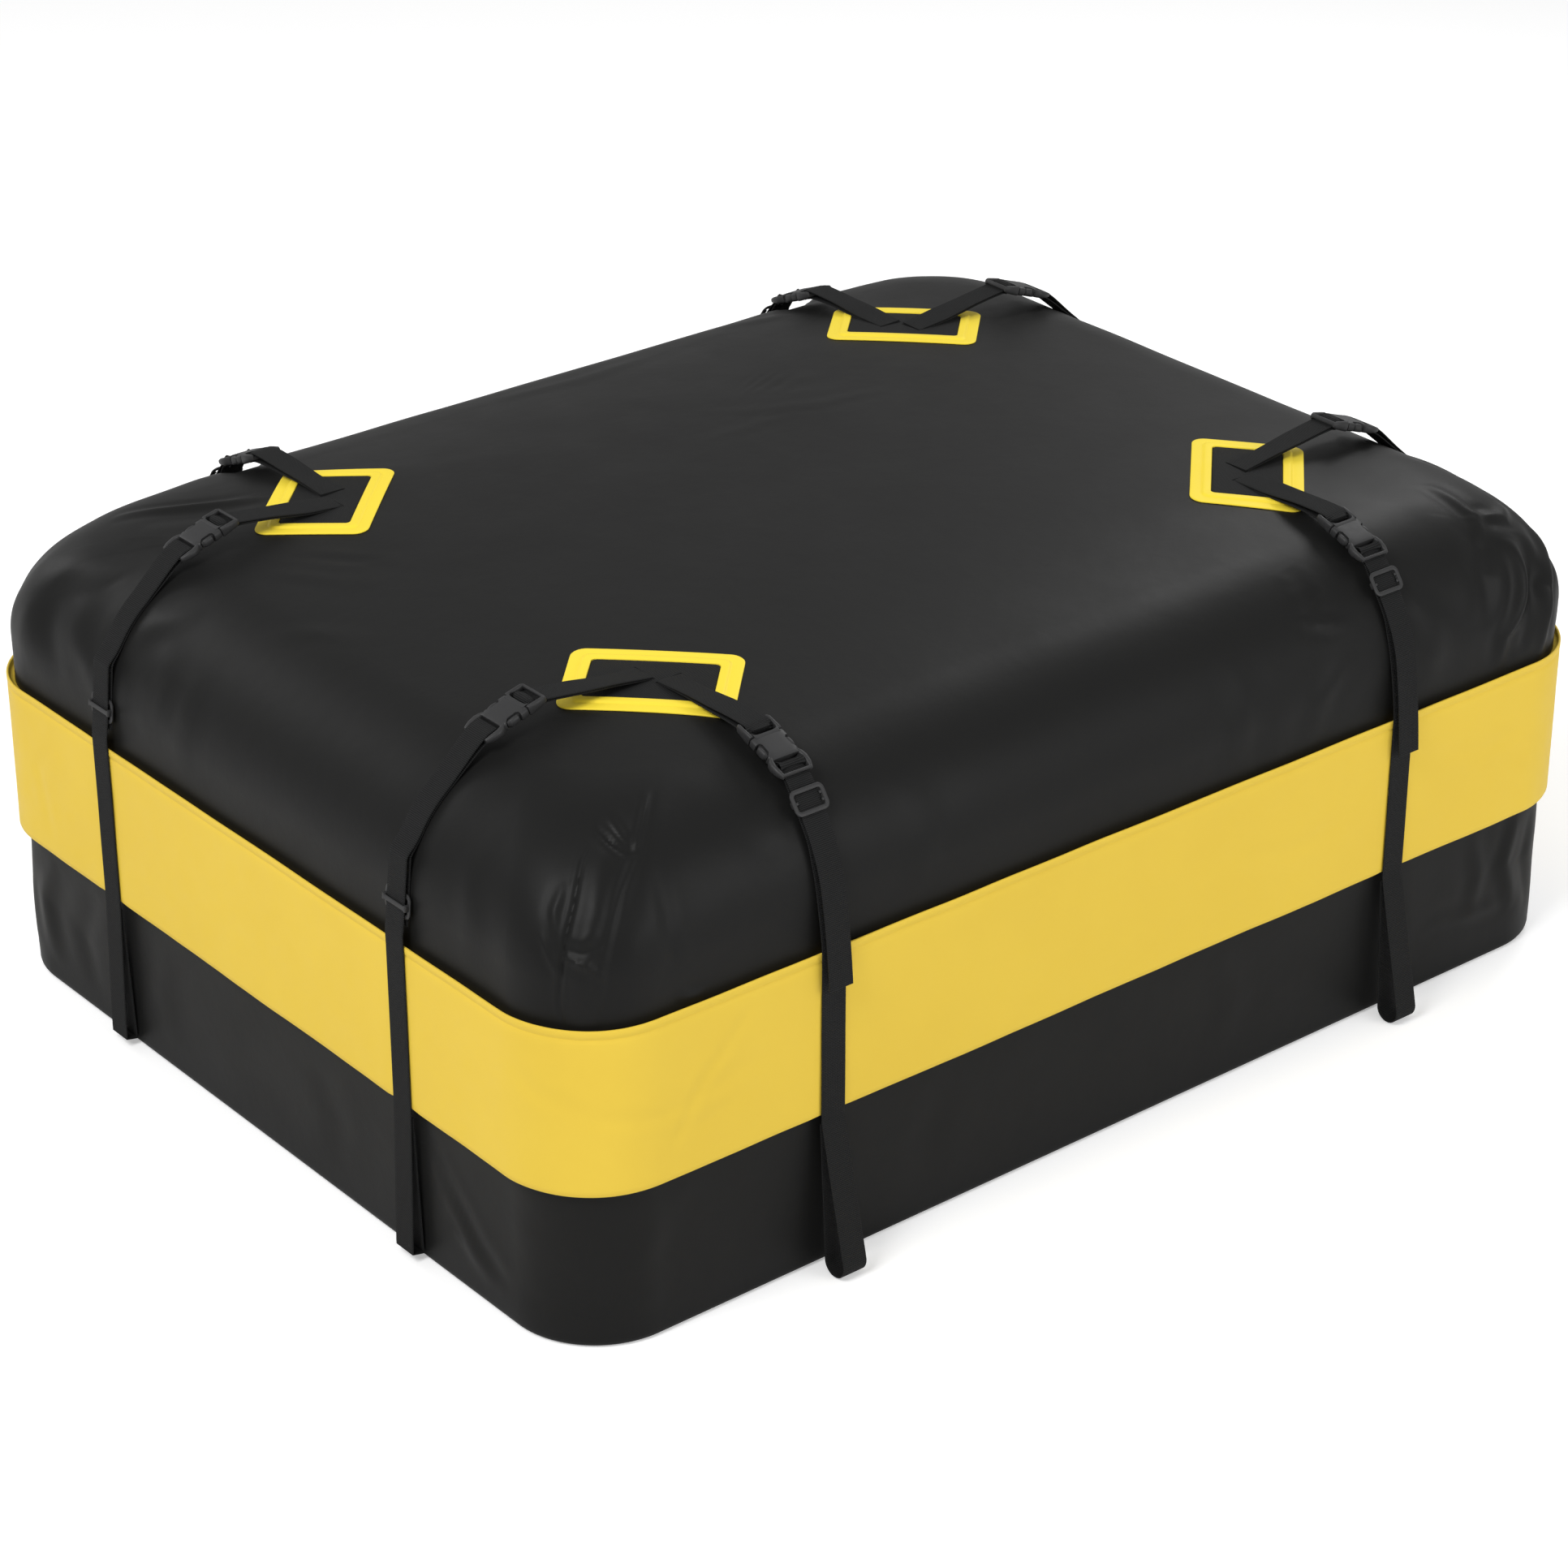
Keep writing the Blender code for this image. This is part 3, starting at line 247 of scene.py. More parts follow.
# Folds of the lid by corner, in millimetres: a line of (way round the wall from that corner, way up the
# side), then its width and its depth. A negative depth stands out from the wall.
LID_FOLDS = {
    2: (
        (((12, 425), (0, 401), (-3, 372), (-9, 340), (-12, 298), (-9, 270)), 1.9, 1.3),
        (((20, 425), (13, 396), (13, 366), (6, 340), (4, 300), (3, 262)), 10.5, -3),
        (((41, 436), (39, 405), (30, 380), (22, 338), (13, 276)), 3, -0.9),
        (((-10, 342), (4, 339), (20, 346)), 4.2, 2.2),
        (((-8, 337), (8, 330), (23, 317)), 3, -1.5),
        (((5, 424), (18, 413), (31, 404), (42, 404)), 2.4, 2.2),
        (((14, 432), (28, 414), (40, 402)), 2.6, 1.4),
        (((41, 446), (40, 424), (37, 404)), 2.8, -1.4),
        (((-11, 385), (-17, 366), (-15, 348)), 3.4, -1.3),
        (((-27, 350), (-20, 334), (-12, 318)), 3, -1.3),
        (((54, 398), (70, 356), (78, 310)), 6, 0.9),
        (((80, 292), (92, 283), (106, 282)), 4, -1.2),
        (((150, 412), (172, 386), (196, 370)), 9, -1.2),
        (((300, 400), (319, 350), (314, 292)), 12, -0.9),
        (((-110, 380), (-104, 330), (-116, 292)), 12, -0.8),
    ),
    3: (
        (((-4, 456), (-36, 419), (-70, 396)), 5, -2.6),
        (((-36, 421), (-12, 404), (16, 402)), 5, -2.6),
        (((-40, 418), (-95, 374), (-121, 326)), 10, 3.2),
        (((-40, 392), (-65, 349), (-95, 312), (-98, 284)), 6, -4.1),
        (((-20, 388), (-52, 344), (-74, 290)), 8, 4.3),
        (((16, 374), (-36, 340), (-48, 276)), 6, -3.8),
        (((52, 400), (20, 350), (12, 288)), 9, 4.3),
        (((100, 430), (74, 370), (80, 300)), 12, -3.5),
        (((-262, 436), (-268, 410), (-292, 396)), 4.6, 2.6),
        (((-298, 398), (-288, 384), (-266, 374)), 5, -2.3),
        (((-392, 382), (-402, 332), (-410, 284)), 8, -1.7),
        (((-278, 352), (-312, 322), (-322, 280)), 8, -2),
        (((-368, 350), (-376, 310), (-375, 272)), 7, 1.4),
        (((-190, 400), (-176, 350), (-184, 292)), 13, -1.7),
    ),
    1: (
        (((30, 412), (62, 402), (112, 412)), 20, -2.6),
        (((172, 398), (196, 392), (236, 422)), 14, -1.8),
        (((104, 386), (140, 350), (186, 322)), 11, -1.4),
        (((76, 376), (92, 348), (124, 312)), 12, 1.6),
        (((40, 392), (58, 350), (74, 296)), 15, -1.8),
        (((234, 392), (266, 364), (272, 322)), 10, -1.2),
        (((206, 370), (226, 342), (232, 296)), 11, 1),
        (((292, 380), (306, 340), (300, 296)), 12, -1),
        (((0, 405), (4, 360), (-8, 300)), 14, 1.4),
        (((-50, 405), (-62, 365), (-52, 310)), 14, -1.4),
        (((-110, 405), (-96, 365), (-112, 300)), 14, 1.4),
    ),
    0: (
        (((84, 400), (70, 365), (80, 315)), 11, -1.2),
        (((34, 395), (22, 360), (30, 294)), 8, 1.6),
        (((-8, 390), (-16, 350), (-18, 296)), 8, -1.4),
        (((-52, 400), (-60, 365), (-50, 320)), 10, 1.6),
        (((-110, 400), (-100, 360), (-112, 315)), 12, -1.4),
    ),
}
# Folds of the top in plan, in millimetres: by the left patch, on the left end, then at the rear and the right
TOP_FOLDS = (
    (((-452, 338), (-430.5, 317.1), (-412.3, 301.8), (-391.2, 287.1), (-369.3, 275.6), (-330, 262)),
     5.5, -2.4),
    (((-448, 300), (-412, 276), (-376, 256)), 9, 1),
    (((-424, 146), (-398, 99), (-380, 60)), 6, -0.6),
    (((-392, 150), (-360, 100), (-352, 52)), 6, 0.6),
    (((-480, 60), (-452, 30), (-430, -20)), 8, -0.6),
    (((-60, 330), (20, 318), (110, 326)), 8, -0.6),
    (((32, 164), (78, 132), (128, 112), (167, 106), (200, 98)), 5, -0.7),
    (((-10, 111), (46, 109), (105, 109)), 5, -0.5),
    (((105, 205), (140, 157), (177, 140)), 5.5, 0.6),
    (((200, 352), (262, 330), (300, 280)), 8, -0.8),
)
# Folds of the base, by corner, as for the lid
BASE_FOLDS = {
    2: (
        (((-172, 118), (-140, 84), (-106, 50), (-67, 30)), 7, 1.3),
        (((-150, 76), (-118, 44), (-88, 20)), 9, -1.1),
        (((60, 122), (46, 70), (52, 22)), 14, -0.8),
        (((-320, 112), (-296, 66), (-302, 24)), 14, 0.9),
        (((340, 116), (322, 70), (330, 24)), 14, 0.8),
    ),
    3: (
        (((-58, 134), (-70, 88), (-54, 40)), 7, -2.4),
        (((-34, 130), (-44, 84), (-26, 30)), 8, 2),
        (((-114, 132), (-102, 90), (-108, 50)), 8, -1.6),
        (((-162, 62), (-116, 52), (-68, 48)), 6, -1.3),
        (((20, 130), (30, 75), (18, 20)), 9, -2.2),
        (((-236, 126), (-214, 80), (-226, 32)), 13, 1),
        (((-420, 122), (-396, 72), (-408, 28)), 13, -0.9),
    ),
    1: (
        (((80, 125), (58, 80), (70, 22)), 10, -1.8),
        (((25, 130), (10, 80), (22, 20)), 9, 1.8),
        (((-30, 130), (-40, 75), (-28, 20)), 10, -1.8),
        (((150, 120), (122, 70), (136, 22)), 11, 1.2),
        (((260, 122), (244, 70), (256, 24)), 13, -1),
    ),
    0: (
        (((60, 125), (40, 80), (52, 22)), 11, -1.8),
        (((0, 130), (-14, 80), (-2, 20)), 9, 2),
        (((-70, 125), (-56, 70), (-68, 22)), 11, -1.6),
    ),
}


def strap_shade(points, reach=0.017, fade=0.010):
    """1 under a strap's path and 0 away from it, for points of the bag."""
    x, y = np.abs(points[..., 0]), np.abs(points[..., 1])
    end = np.where(x > STRAP_X - 0.06, np.abs(y - STRAP_Y), 1.0)
    side = np.where(y > STRAP_Y - 0.06, np.abs(x - STRAP_X), 1.0)
    distance = np.minimum(end, side)
    return 1.0 - np.clip((distance - reach) / fade, 0.0, 1.0)


def patch_shade(points):
    """1 under a corner patch and 0 away from it, for points of the bag."""
    x, y = np.abs(points[..., 0]) - PATCH_X, np.abs(points[..., 1]) - PATCH_Y
    root = math.sqrt(0.5)
    over_length = np.abs(root * (x - y)) - PATCH_HALF_LENGTH
    over_width = np.abs(root * (x + y)) - PATCH_HALF_WIDTH
    over = np.maximum(over_length, over_width)
    return np.where(points[..., 2] > SHOULDER_START, 1.0 - np.clip(over / 0.012, 0.0, 1.0), 0.0)


def cloth_swell(points, scale, seed):
    """Slow swell of loose cloth, between about -1 and 1, at each point."""
    flat = points.reshape(-1, 3)
    shift = Vector((seed, seed * 2.0, seed * 3.0))
    values = [noise.noise(Vector(p) * scale + shift) for p in flat]
    return np.array(values).reshape(points.shape[:-1])


def fabric_rows(rows, places, folds, plan_folds, seed):
    """Points of a fabric wall, their way out, and the height of its folds there.

    A row is (half x, half y, corner radius, height, outward normal, length up the side).
    """
    distances = corner_distances(places)
    base, push = [], []
    for half_x, half_y, radius, height, normal, _ in rows:
        points, normals = ring_points(places, half_x, half_y, radius)
        base.append(np.column_stack((points, np.full(len(points), height))))
        push.append(np.column_stack((normals * normal.x, np.full(len(points), normal.y))))
    base, push = np.array(base), np.array(push)
    up = np.repeat(np.array([row[5] for row in rows])[:, None], len(places), axis=1)
    height = np.zeros(up.shape)
    for turn, lines in folds.items():
        across = np.repeat(distances[turn][None, :], len(rows), axis=0)
        for line, width, depth in lines:
            height += fold(across, up, line, width, depth)
    for line, width, depth in plan_folds:
        pressed = fold(base[..., 0], base[..., 1], line, width, depth)
        height += np.where(base[..., 2] > SHOULDER_START, pressed, 0.0)
    outer = np.clip((0.505 - up) / 0.06, 0.0, 1.0)
    near_corner = np.exp(-((np.min(np.abs(distances), axis=0) / 0.14) ** 2))[None, :] * outer
    slow, quick = cloth_swell(base, 11.0, seed), cloth_swell(base, 31.0, seed + 5.0)
    height += FABRIC_SWELL * (0.09 + 0.21 * outer + 0.70 * near_corner) * slow
    height += 0.25 * FABRIC_SWELL * (0.06 + 0.14 * outer + 0.80 * near_corner) * quick
    shade = np.maximum(strap_shade(base), patch_shade(base))
    height = np.where(height > 0, height * (1 - shade), height * (1 - 0.6 * shade))
    height = np.where(height > 0, height, height * (1 - patch_shade(base)))
    return base, push, height


def cleaned(mesh, merge=None):
    """Merge points that meet, where a distance is given, and turn every face outwards."""
    work = bmesh.new()
    work.from_mesh(mesh)
    if merge:
        bmesh.ops.remove_doubles(work, verts=work.verts, dist=merge)
    bmesh.ops.recalc_face_normals(work, faces=work.faces)
    work.to_mesh(mesh)
    work.free()
    return mesh


def grid_mesh(name, grid, close_first=False, close_last=False):
    """Mesh of a grid of points whose rows are rings, with optional fans that close the two ends."""
    count_rows, count, _ = grid.shape
    points = [tuple(p) for p in grid.reshape(-1, 3)]
    faces = []
    for row in range(count_rows - 1):
        for step in range(count):
            after = (step + 1) % count
            a, b = row * count + step, row * count + after
            faces.append((a, b, b + count, a + count))
    for wanted, row in ((close_first, 0), (close_last, count_rows - 1)):
        if wanted:
            centre = len(points)
            points.append(tuple(grid[row].mean(axis=0)))
            faces += [(row * count + s, row * count + (s + 1) % count, centre) for s in range(count)]
    mesh = bpy.data.meshes.new(name)
    mesh.from_pydata(points, [], faces)
    return cleaned(mesh)


def ring_mesh(name, rings):
    """Closed mesh of rings, one after the other, with its two ends capped."""
    count = len(rings[0])
    faces = []
    for row in range(len(rings) - 1):
        for step in range(count):
            a, b = row * count + step, row * count + (step + 1) % count
            faces.append((a, b, b + count, a + count))
    faces += [tuple(range(count))[::-1], tuple((len(rings) - 1) * count + step for step in range(count))]
    mesh = bpy.data.meshes.new(name)
    mesh.from_pydata([tuple(p) for ring in rings for p in ring], [], faces)
    return cleaned(mesh)


def new_piece(name, mesh, finish, body, replaced=(), smooth_angle=40.0):
    """Show a finished mesh as a piece of the object that rides on a body."""
    if finish and not mesh.materials:
        mesh.materials.append(finish)
    mesh.shade_smooth()
    mesh.set_sharp_from_angle(angle=math.radians(smooth_angle))
    piece = bpy.data.objects.new(name, mesh)
    bpy.context.scene.collection.objects.link(piece)
    if body:
        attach(piece, body)
    if replaced:
        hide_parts(*replaced)
    return piece


def applied(piece):
    """Turn a piece's modifiers into plain mesh, and remove them."""
    graph = bpy.context.evaluated_depsgraph_get()
    mesh = bpy.data.meshes.new_from_object(piece.evaluated_get(graph))
    piece.modifiers.clear()
    piece.data = mesh


def principled(name, color, roughness):
    """New material with its shader, node list and link list."""
    made = bpy.data.materials.new(name)
    made.use_nodes = True
    tree = made.node_tree
    shader = tree.nodes["Principled BSDF"]
    shader.inputs["Base Color"].default_value = (*color, 1.0)
    shader.inputs["Roughness"].default_value = roughness
    return made, shader, tree.nodes, tree.links


def noise_node(nodes, links, source, scale, detail):
    """Noise texture read from a coordinate socket."""
    texture = nodes.new("ShaderNodeTexNoise")
    texture.inputs["Scale"].default_value = scale
    texture.inputs["Detail"].default_value = detail
    links.new(source, texture.inputs["Vector"])
    return texture.outputs["Fac"]


def ranged(nodes, links, source, low, high, target):
    """Send a 0 to 1 value to a socket, spread over a range."""
    spread = nodes.new("ShaderNodeMapRange")
    spread.inputs["From Min"].default_value = 0.25
    spread.inputs["From Max"].default_value = 0.75
    spread.inputs["To Min"].default_value = low
    spread.inputs["To Max"].default_value = high
    links.new(source, spread.inputs["Value"])
    links.new(spread.outputs["Result"], target)


def mixed_color(nodes, links, share, first, second, target):
    """Send a mix of two colours to a socket."""
    mix = nodes.new("ShaderNodeMix")
    mix.data_type = "RGBA"
    mix.inputs["A"].default_value = (*first, 1.0)
    mix.inputs["B"].default_value = (*second, 1.0)
    links.new(share, mix.inputs["Factor"])
    links.new(mix.outputs["Result"], target)


def bumped(nodes, links, height, strength, distance, target, below=None):
    """Send a bump to a normal socket, over another bump if there is one."""
    bump = nodes.new("ShaderNodeBump")
    bump.inputs["Strength"].default_value = strength
    bump.inputs["Distance"].default_value = distance
    links.new(height, bump.inputs["Height"])
    if below is not None:
        links.new(below, bump.inputs["Normal"])
    if target is not None:
        links.new(bump.outputs["Normal"], target)
    return bump.outputs["Normal"]


def coated_fabric():
    """Black polyester with a thin satin coating: fine grain, faint mottling, soft sheen."""
    made, shader, nodes, links = principled("black_coated_fabric", (0.0098, 0.0098, 0.0095), 0.45)
    shader.inputs["Specular IOR Level"].default_value = 0.12
    place = nodes.new("ShaderNodeTexCoord").outputs["Object"]
    mottle = noise_node(nodes, links, place, 7.0, 4.0)
    dark, light = (0.0094, 0.0094, 0.0091), (0.0103, 0.0103, 0.0100)
    mixed_color(nodes, links, mottle, dark, light, shader.inputs["Base Color"])
    ranged(nodes, links, noise_node(nodes, links, place, 16.0, 3.0), 0.42, 0.48, shader.inputs["Roughness"])
    weave = bumped(nodes, links, noise_node(nodes, links, place, 1400.0, 2.0), 0.22, 0.0003, None)
    slack = noise_node(nodes, links, place, 60.0, 4.0)
    bumped(nodes, links, slack, 0.12, 0.0016, shader.inputs["Normal"], weave)
    return made


def fabric_wall(name, mesh, thickness, replaced):
    """Show a fabric surface, thickened inwards, as a piece that rides on the bag."""
    piece = new_piece(name, mesh, fabric, None)
    wall = piece.modifiers.new("fabric", "SOLIDIFY")
    wall.thickness = thickness
    wall.offset = -1.0
    applied(piece)
    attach(piece, "bag")
    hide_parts(replaced)


fabric = coated_fabric()
places = ring_places(84, 120, 92, 0.10)

rows = []
WALL_ROWS = 34
for step in range(WALL_ROWS):
    height = lid_low[2] + (SHOULDER_START - lid_low[2]) * step / WALL_ROWS
    rows.append((HALF_X, HALF_Y, CORNER_RADIUS, height, Vector((1.0, 0.0)), height))
SHOULDER_ROWS = 60
for step in range(SHOULDER_ROWS + 1):
    level = step / SHOULDER_ROWS
    length_up = SHOULDER_START + (SHOULDER_RUN + SHOULDER_RISE) / 2 * SHOULDER_SWEEP * level
    rows.append((*lid_row(level), length_up))
CROWN_ROWS = 40
CROWN_REACH = 0.96
for step in range(1, CROWN_ROWS):
    level = 1.0 + CROWN_REACH * step / CROWN_ROWS
    rows.append((*lid_row(level), rows[-1][5] + HALF_Y * CROWN_REACH / CROWN_ROWS))
points, push, height = fabric_rows(rows, places, LID_FOLDS, TOP_FOLDS, 3.0)
shown_length = np.array([row[5] for row in rows])[:, None]
height *= np.clip((shown_length - lid_low[2]) / 0.045, 0.0, 1.0)
rear_side = np.clip((points[..., 1] - 0.30) / 0.05, 0.0, 1.0) * (1 - strap_shade(points))
rear_side *= np.clip((0.45 - np.abs(points[..., 0])) / 0.10, 0.0, 1.0)
from_fullest = (shown_length - REAR_FULLNESS_AT) / REAR_FULLNESS_SPREAD
height += REAR_FULLNESS * rear_side * np.exp(-(from_fullest ** 2))
mesh = grid_mesh("bag_lid_fabric", points + push * height[..., None], close_last=True)
fabric_wall("bag_lid_fabric", mesh, FABRIC, "bag_lid")

rows = []
BOTTOM_EDGE = 0.006
for inset in (0.30, 0.10, 0.02):
    rows.append((HALF_X - inset, HALF_Y - inset, CORNER_RADIUS, 0.0, Vector((0.0, -1.0)), 0.0))
for step in range(5):
    angle = math.pi / 2 * step / 4
    inset = BOTTOM_EDGE * (1 - math.sin(angle))
    up = BOTTOM_EDGE * (1 - math.cos(angle))
    rows.append((HALF_X - inset, HALF_Y - inset, CORNER_RADIUS - inset, up, Vector((1.0, 0.0)), up))
BASE_ROWS = 56
for step in range(1, BASE_ROWS + 1):
    up = BOTTOM_EDGE + (base_high[2] - BOTTOM_EDGE) * step / BASE_ROWS
    rows.append((HALF_X, HALF_Y, CORNER_RADIUS, up, Vector((1.0, 0.0)), up))
points, push, height = fabric_rows(rows, places, BASE_FOLDS, (), 17.0)
shown_length = np.array([row[5] for row in rows])[:, None]
height *= np.clip((shown_length - 0.004) / 0.03, 0.0, 1.0)
height *= np.clip((base_high[2] - shown_length) / 0.05, 0.0, 1.0)
mesh = grid_mesh("bag_base_fabric", points + push * height[..., None], close_first=True)
fabric_wall("bag_base_fabric", mesh, FABRIC, "bag_base")


# Cloth hinge
# A strip of the same fabric joins base and lid along the rear, behind the flap.
# It is sewn on both edges, so it bellies out a little between the two seams.

hinge_low, hinge_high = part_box("rear_hinge_strip")
HINGE_STEPS = 60
HINGE_ROWS = 8
grid = []
for row in range(HINGE_ROWS + 1):
    share = row / HINGE_ROWS
    bulge = 0.0012 * math.sin(math.pi * share)
    line = []
    for step in range(HINGE_STEPS + 1):
        x = hinge_low[0] + (hinge_high[0] - hinge_low[0]) * step / HINGE_STEPS
        ripple = 0.0004 * noise.noise(Vector((x * 40.0, share * 3.0, 2.0)))
        z = hinge_low[2] + (hinge_high[2] - hinge_low[2]) * share
        line.append((x, hinge_high[1] + bulge + ripple, z))
    grid.append(line)
mesh = bpy.data.meshes.new("rear_hinge_fabric")
count = HINGE_STEPS + 1
first_points = [row * count + step for row in range(HINGE_ROWS) for step in range(HINGE_STEPS)]
faces = [(a + 1, a, a + count, a + count + 1) for a in first_points]
mesh.from_pydata([p for line in grid for p in line], [], faces)
fabric_wall("rear_hinge_fabric", mesh, hinge_high[1] - hinge_low[1], "rear_hinge_strip")


# Zip
# Two woven tapes with moulded teeth run round the front and both ends under the flap.
# Each tooth is nylon, clamped on the tape's edge at an even pitch.

ZIP_HEIGHT = (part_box("zip_tape_lower")[1][2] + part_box("zip_tape_upper")[0][2]) / 2
TAPE_WIDTH = 0.012
TAPE = 0.0009
TAPE_BEHIND_WALL = -0.0016
TOOTH_PITCH = 0.0026
TOOTH_SIZE = (0.0019, 0.0022, 0.0014)


def woven_tape():
    """Black zip tape: fine herringbone weave, matt."""
    made, shader, nodes, links = principled("black_zip_tape", (0.016, 0.016, 0.017), 0.85)
    place = nodes.new("ShaderNodeTexCoord").outputs["Object"]
    wave = nodes.new("ShaderNodeTexWave")
    wave.bands_direction = "DIAGONAL"
    wave.inputs["Scale"].default_value = 420.0
    links.new(place, wave.inputs["Vector"])
    bumped(nodes, links, wave.outputs["Fac"], 0.35, 0.0003, shader.inputs["Normal"])
    dark, light = (0.012, 0.012, 0.013), (0.024, 0.024, 0.025)
    mixed_color(nodes, links, wave.outputs["Fac"], dark, light, shader.inputs["Base Color"])
    return made


def tooth_tree(finish):
    """Node tree that sets teeth along a line, with named sizes."""
    tree = bpy.data.node_groups.new("zip_teeth", "GeometryNodeTree")
    socket = tree.interface.new_socket
    socket("Line", in_out="INPUT", socket_type="NodeSocketGeometry")
    pitch = socket("Pitch", in_out="INPUT", socket_type="NodeSocketFloat")
    size = socket("Tooth size", in_out="INPUT", socket_type="NodeSocketVector")
    socket("Teeth", in_out="OUTPUT", socket_type="NodeSocketGeometry")
    new, link = tree.nodes.new, tree.links.new
    given, made = new("NodeGroupInput"), new("NodeGroupOutput")
    curve = new("GeometryNodeMeshToCurve")
    points = new("GeometryNodeCurveToPoints")
    points.mode = "LENGTH"
    block = new("GeometryNodeMeshCube")
    copies = new("GeometryNodeInstanceOnPoints")
    real = new("GeometryNodeRealizeInstances")
    coat = new("GeometryNodeSetMaterial")
    coat.inputs["Material"].default_value = finish
    link(given.outputs["Line"], curve.inputs["Mesh"])
    link(curve.outputs["Curve"], points.inputs["Curve"])
    link(given.outputs["Pitch"], points.inputs["Length"])
    link(given.outputs["Tooth size"], block.inputs["Size"])
    link(points.outputs["Points"], copies.inputs["Points"])
    link(points.outputs["Rotation"], copies.inputs["Rotation"])
    link(block.outputs["Mesh"], copies.inputs["Instance"])
    link(copies.outputs["Instances"], real.inputs["Geometry"])
    link(real.outputs["Geometry"], coat.inputs["Geometry"])
    link(coat.outputs["Geometry"], made.inputs["Teeth"])
    return tree, pitch.identifier, size.identifier


tape_finish = woven_tape()
teeth_finish, shader, nodes, links = principled("black_nylon_teeth", (0.018, 0.018, 0.018), 0.38)
grain = noise_node(nodes, links, nodes.new("ShaderNodeTexCoord").outputs["Object"], 900.0, 2.0)
bumped(nodes, links, grain, 0.1, 0.0002, shader.inputs["Normal"])
teeth_tree, pitch_key, size_key = tooth_tree(teeth_finish)

HINGE_END_GAP = hinge_high[0] + 0.0003
zip_places = ring_places(12, 20, 16, 0.0)


def zip_line(offset, height):
    """Points of the zip's plan at an offset from the wall: from the rear round both ends and the front."""
    ring, _ = ring_points(zip_places, HALF_X + offset, HALF_Y + offset, CORNER_RADIUS + offset)
    first = next(i for i, place in enumerate(zip_places) if place[0] == 1)
    turned = np.roll(ring, -first, axis=0)
    rear_end = len(ring) - 20
    path = [(-HINGE_END_GAP, HALF_Y + offset)] + [tuple(p) for p in turned[:rear_end + 1]]
    path.append((HINGE_END_GAP, HALF_Y + offset))
    return [(x, y, height) for x, y in path]


for name, side in (("lower", -1), ("upper", 1)):
    inner = ZIP_HEIGHT + side * 0.0008
    outer = ZIP_HEIGHT + side * (0.0006 + TAPE_WIDTH)
    behind, front = TAPE_BEHIND_WALL, TAPE_BEHIND_WALL + TAPE
    section = ((behind, inner), (behind, outer), (front, outer), (front, inner))
    rings = list(zip(*[zip_line(offset, z) for offset, z in section]))
    mesh = ring_mesh("zip_tape_%s_woven" % name, rings)
    new_piece("zip_tape_%s_woven" % name, mesh, tape_finish, "bag", ("zip_tape_" + name,))
    line = zip_line(0.0002, ZIP_HEIGHT + side * 0.0012)
    path = bpy.data.meshes.new("zip_line_" + name)
    path.from_pydata(line, [(i, i + 1) for i in range(len(line) - 1)], [])
    teeth = bpy.data.objects.new("zip_teeth_" + name, path)
    bpy.context.scene.collection.objects.link(teeth)
    build = teeth.modifiers.new("teeth", "NODES")
    build.node_group = teeth_tree
    build[pitch_key] = TOOTH_PITCH
    build[size_key] = TOOTH_SIZE
    applied(teeth)
    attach(teeth, "bag")


# Sliders and pulls
# Two die-cast sliders meet at the front. Each has a tape pull, folded and sewn shut.
# The cast sliders keep their CAD shape, with a dark burnished finish.

slider_finish, shader, nodes, links = principled("burnished_metal", (0.16, 0.155, 0.15), 0.34)
shader.inputs["Metallic"].default_value = 1.0
place = nodes.new("ShaderNodeTexCoord").outputs["Object"]
ranged(nodes, links, noise_node(nodes, links, place, 320.0, 3.0), 0.26, 0.48, shader.inputs["Roughness"])
bumped(nodes, links, noise_node(nodes, links, place, 650.0, 2.0), 0.12, 0.0002, shader.inputs["Normal"])
for side in ("left", "right"):
    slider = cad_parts["zip_slider_" + side]
    slider.data.materials.clear()
    slider.data.materials.append(slider_finish)
    low, high = (Vector(p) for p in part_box("zip_pull_" + side))
    middle, size = (low + high) / 2, high - low
    work = bmesh.new()
    bmesh.ops.create_cube(work, size=1.0, matrix=Matrix.Translation(middle) @ Matrix.Diagonal((*size, 1.0)))
    upright = [edge for edge in work.edges if abs(edge.verts[0].co.y - edge.verts[1].co.y) > size.y / 2]
    bmesh.ops.bevel(work, geom=upright, offset=0.0022, segments=5, affect="EDGES", profile=0.5)
    bmesh.ops.bevel(work, geom=work.edges[:], offset=0.0003, segments=2, affect="EDGES", profile=0.5)
    name = "zip_pull_tab_" + side
    mesh = bpy.data.meshes.new(name)
    work.to_mesh(mesh)
    work.free()
    new_piece(name, mesh, tape_finish, "zip_slider_" + side, ("zip_pull_" + side,))


# Hook strip
# The flap is held down by a woven hook strip, welded on the wall just inside its hem.
# It keeps its CAD shape; the finish gives it the dense nap of hook tape.

hook_finish, shader, nodes, links = principled("black_hook_strip", (0.012, 0.012, 0.012), 0.95)
place = nodes.new("ShaderNodeTexCoord").outputs["Object"]
nap = nodes.new("ShaderNodeTexVoronoi")
nap.inputs["Scale"].default_value = 700.0
links.new(place, nap.inputs["Vector"])
bumped(nodes, links, nap.outputs["Distance"], 0.8, 0.0006, shader.inputs["Normal"])
dark, light = (0.008, 0.008, 0.008), (0.030, 0.030, 0.030)
mixed_color(nodes, links, nap.outputs["Distance"], dark, light, shader.inputs["Base Color"])
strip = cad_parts["flap_hook_strip"]
strip.data.materials.clear()
strip.data.materials.append(hook_finish)


# Flap
# A band of yellow vinyl tarpaulin hangs over the zip, all the way round the bag.
# Its top is folded over and welded on the wall, which leaves a raised bead and a groove under it.

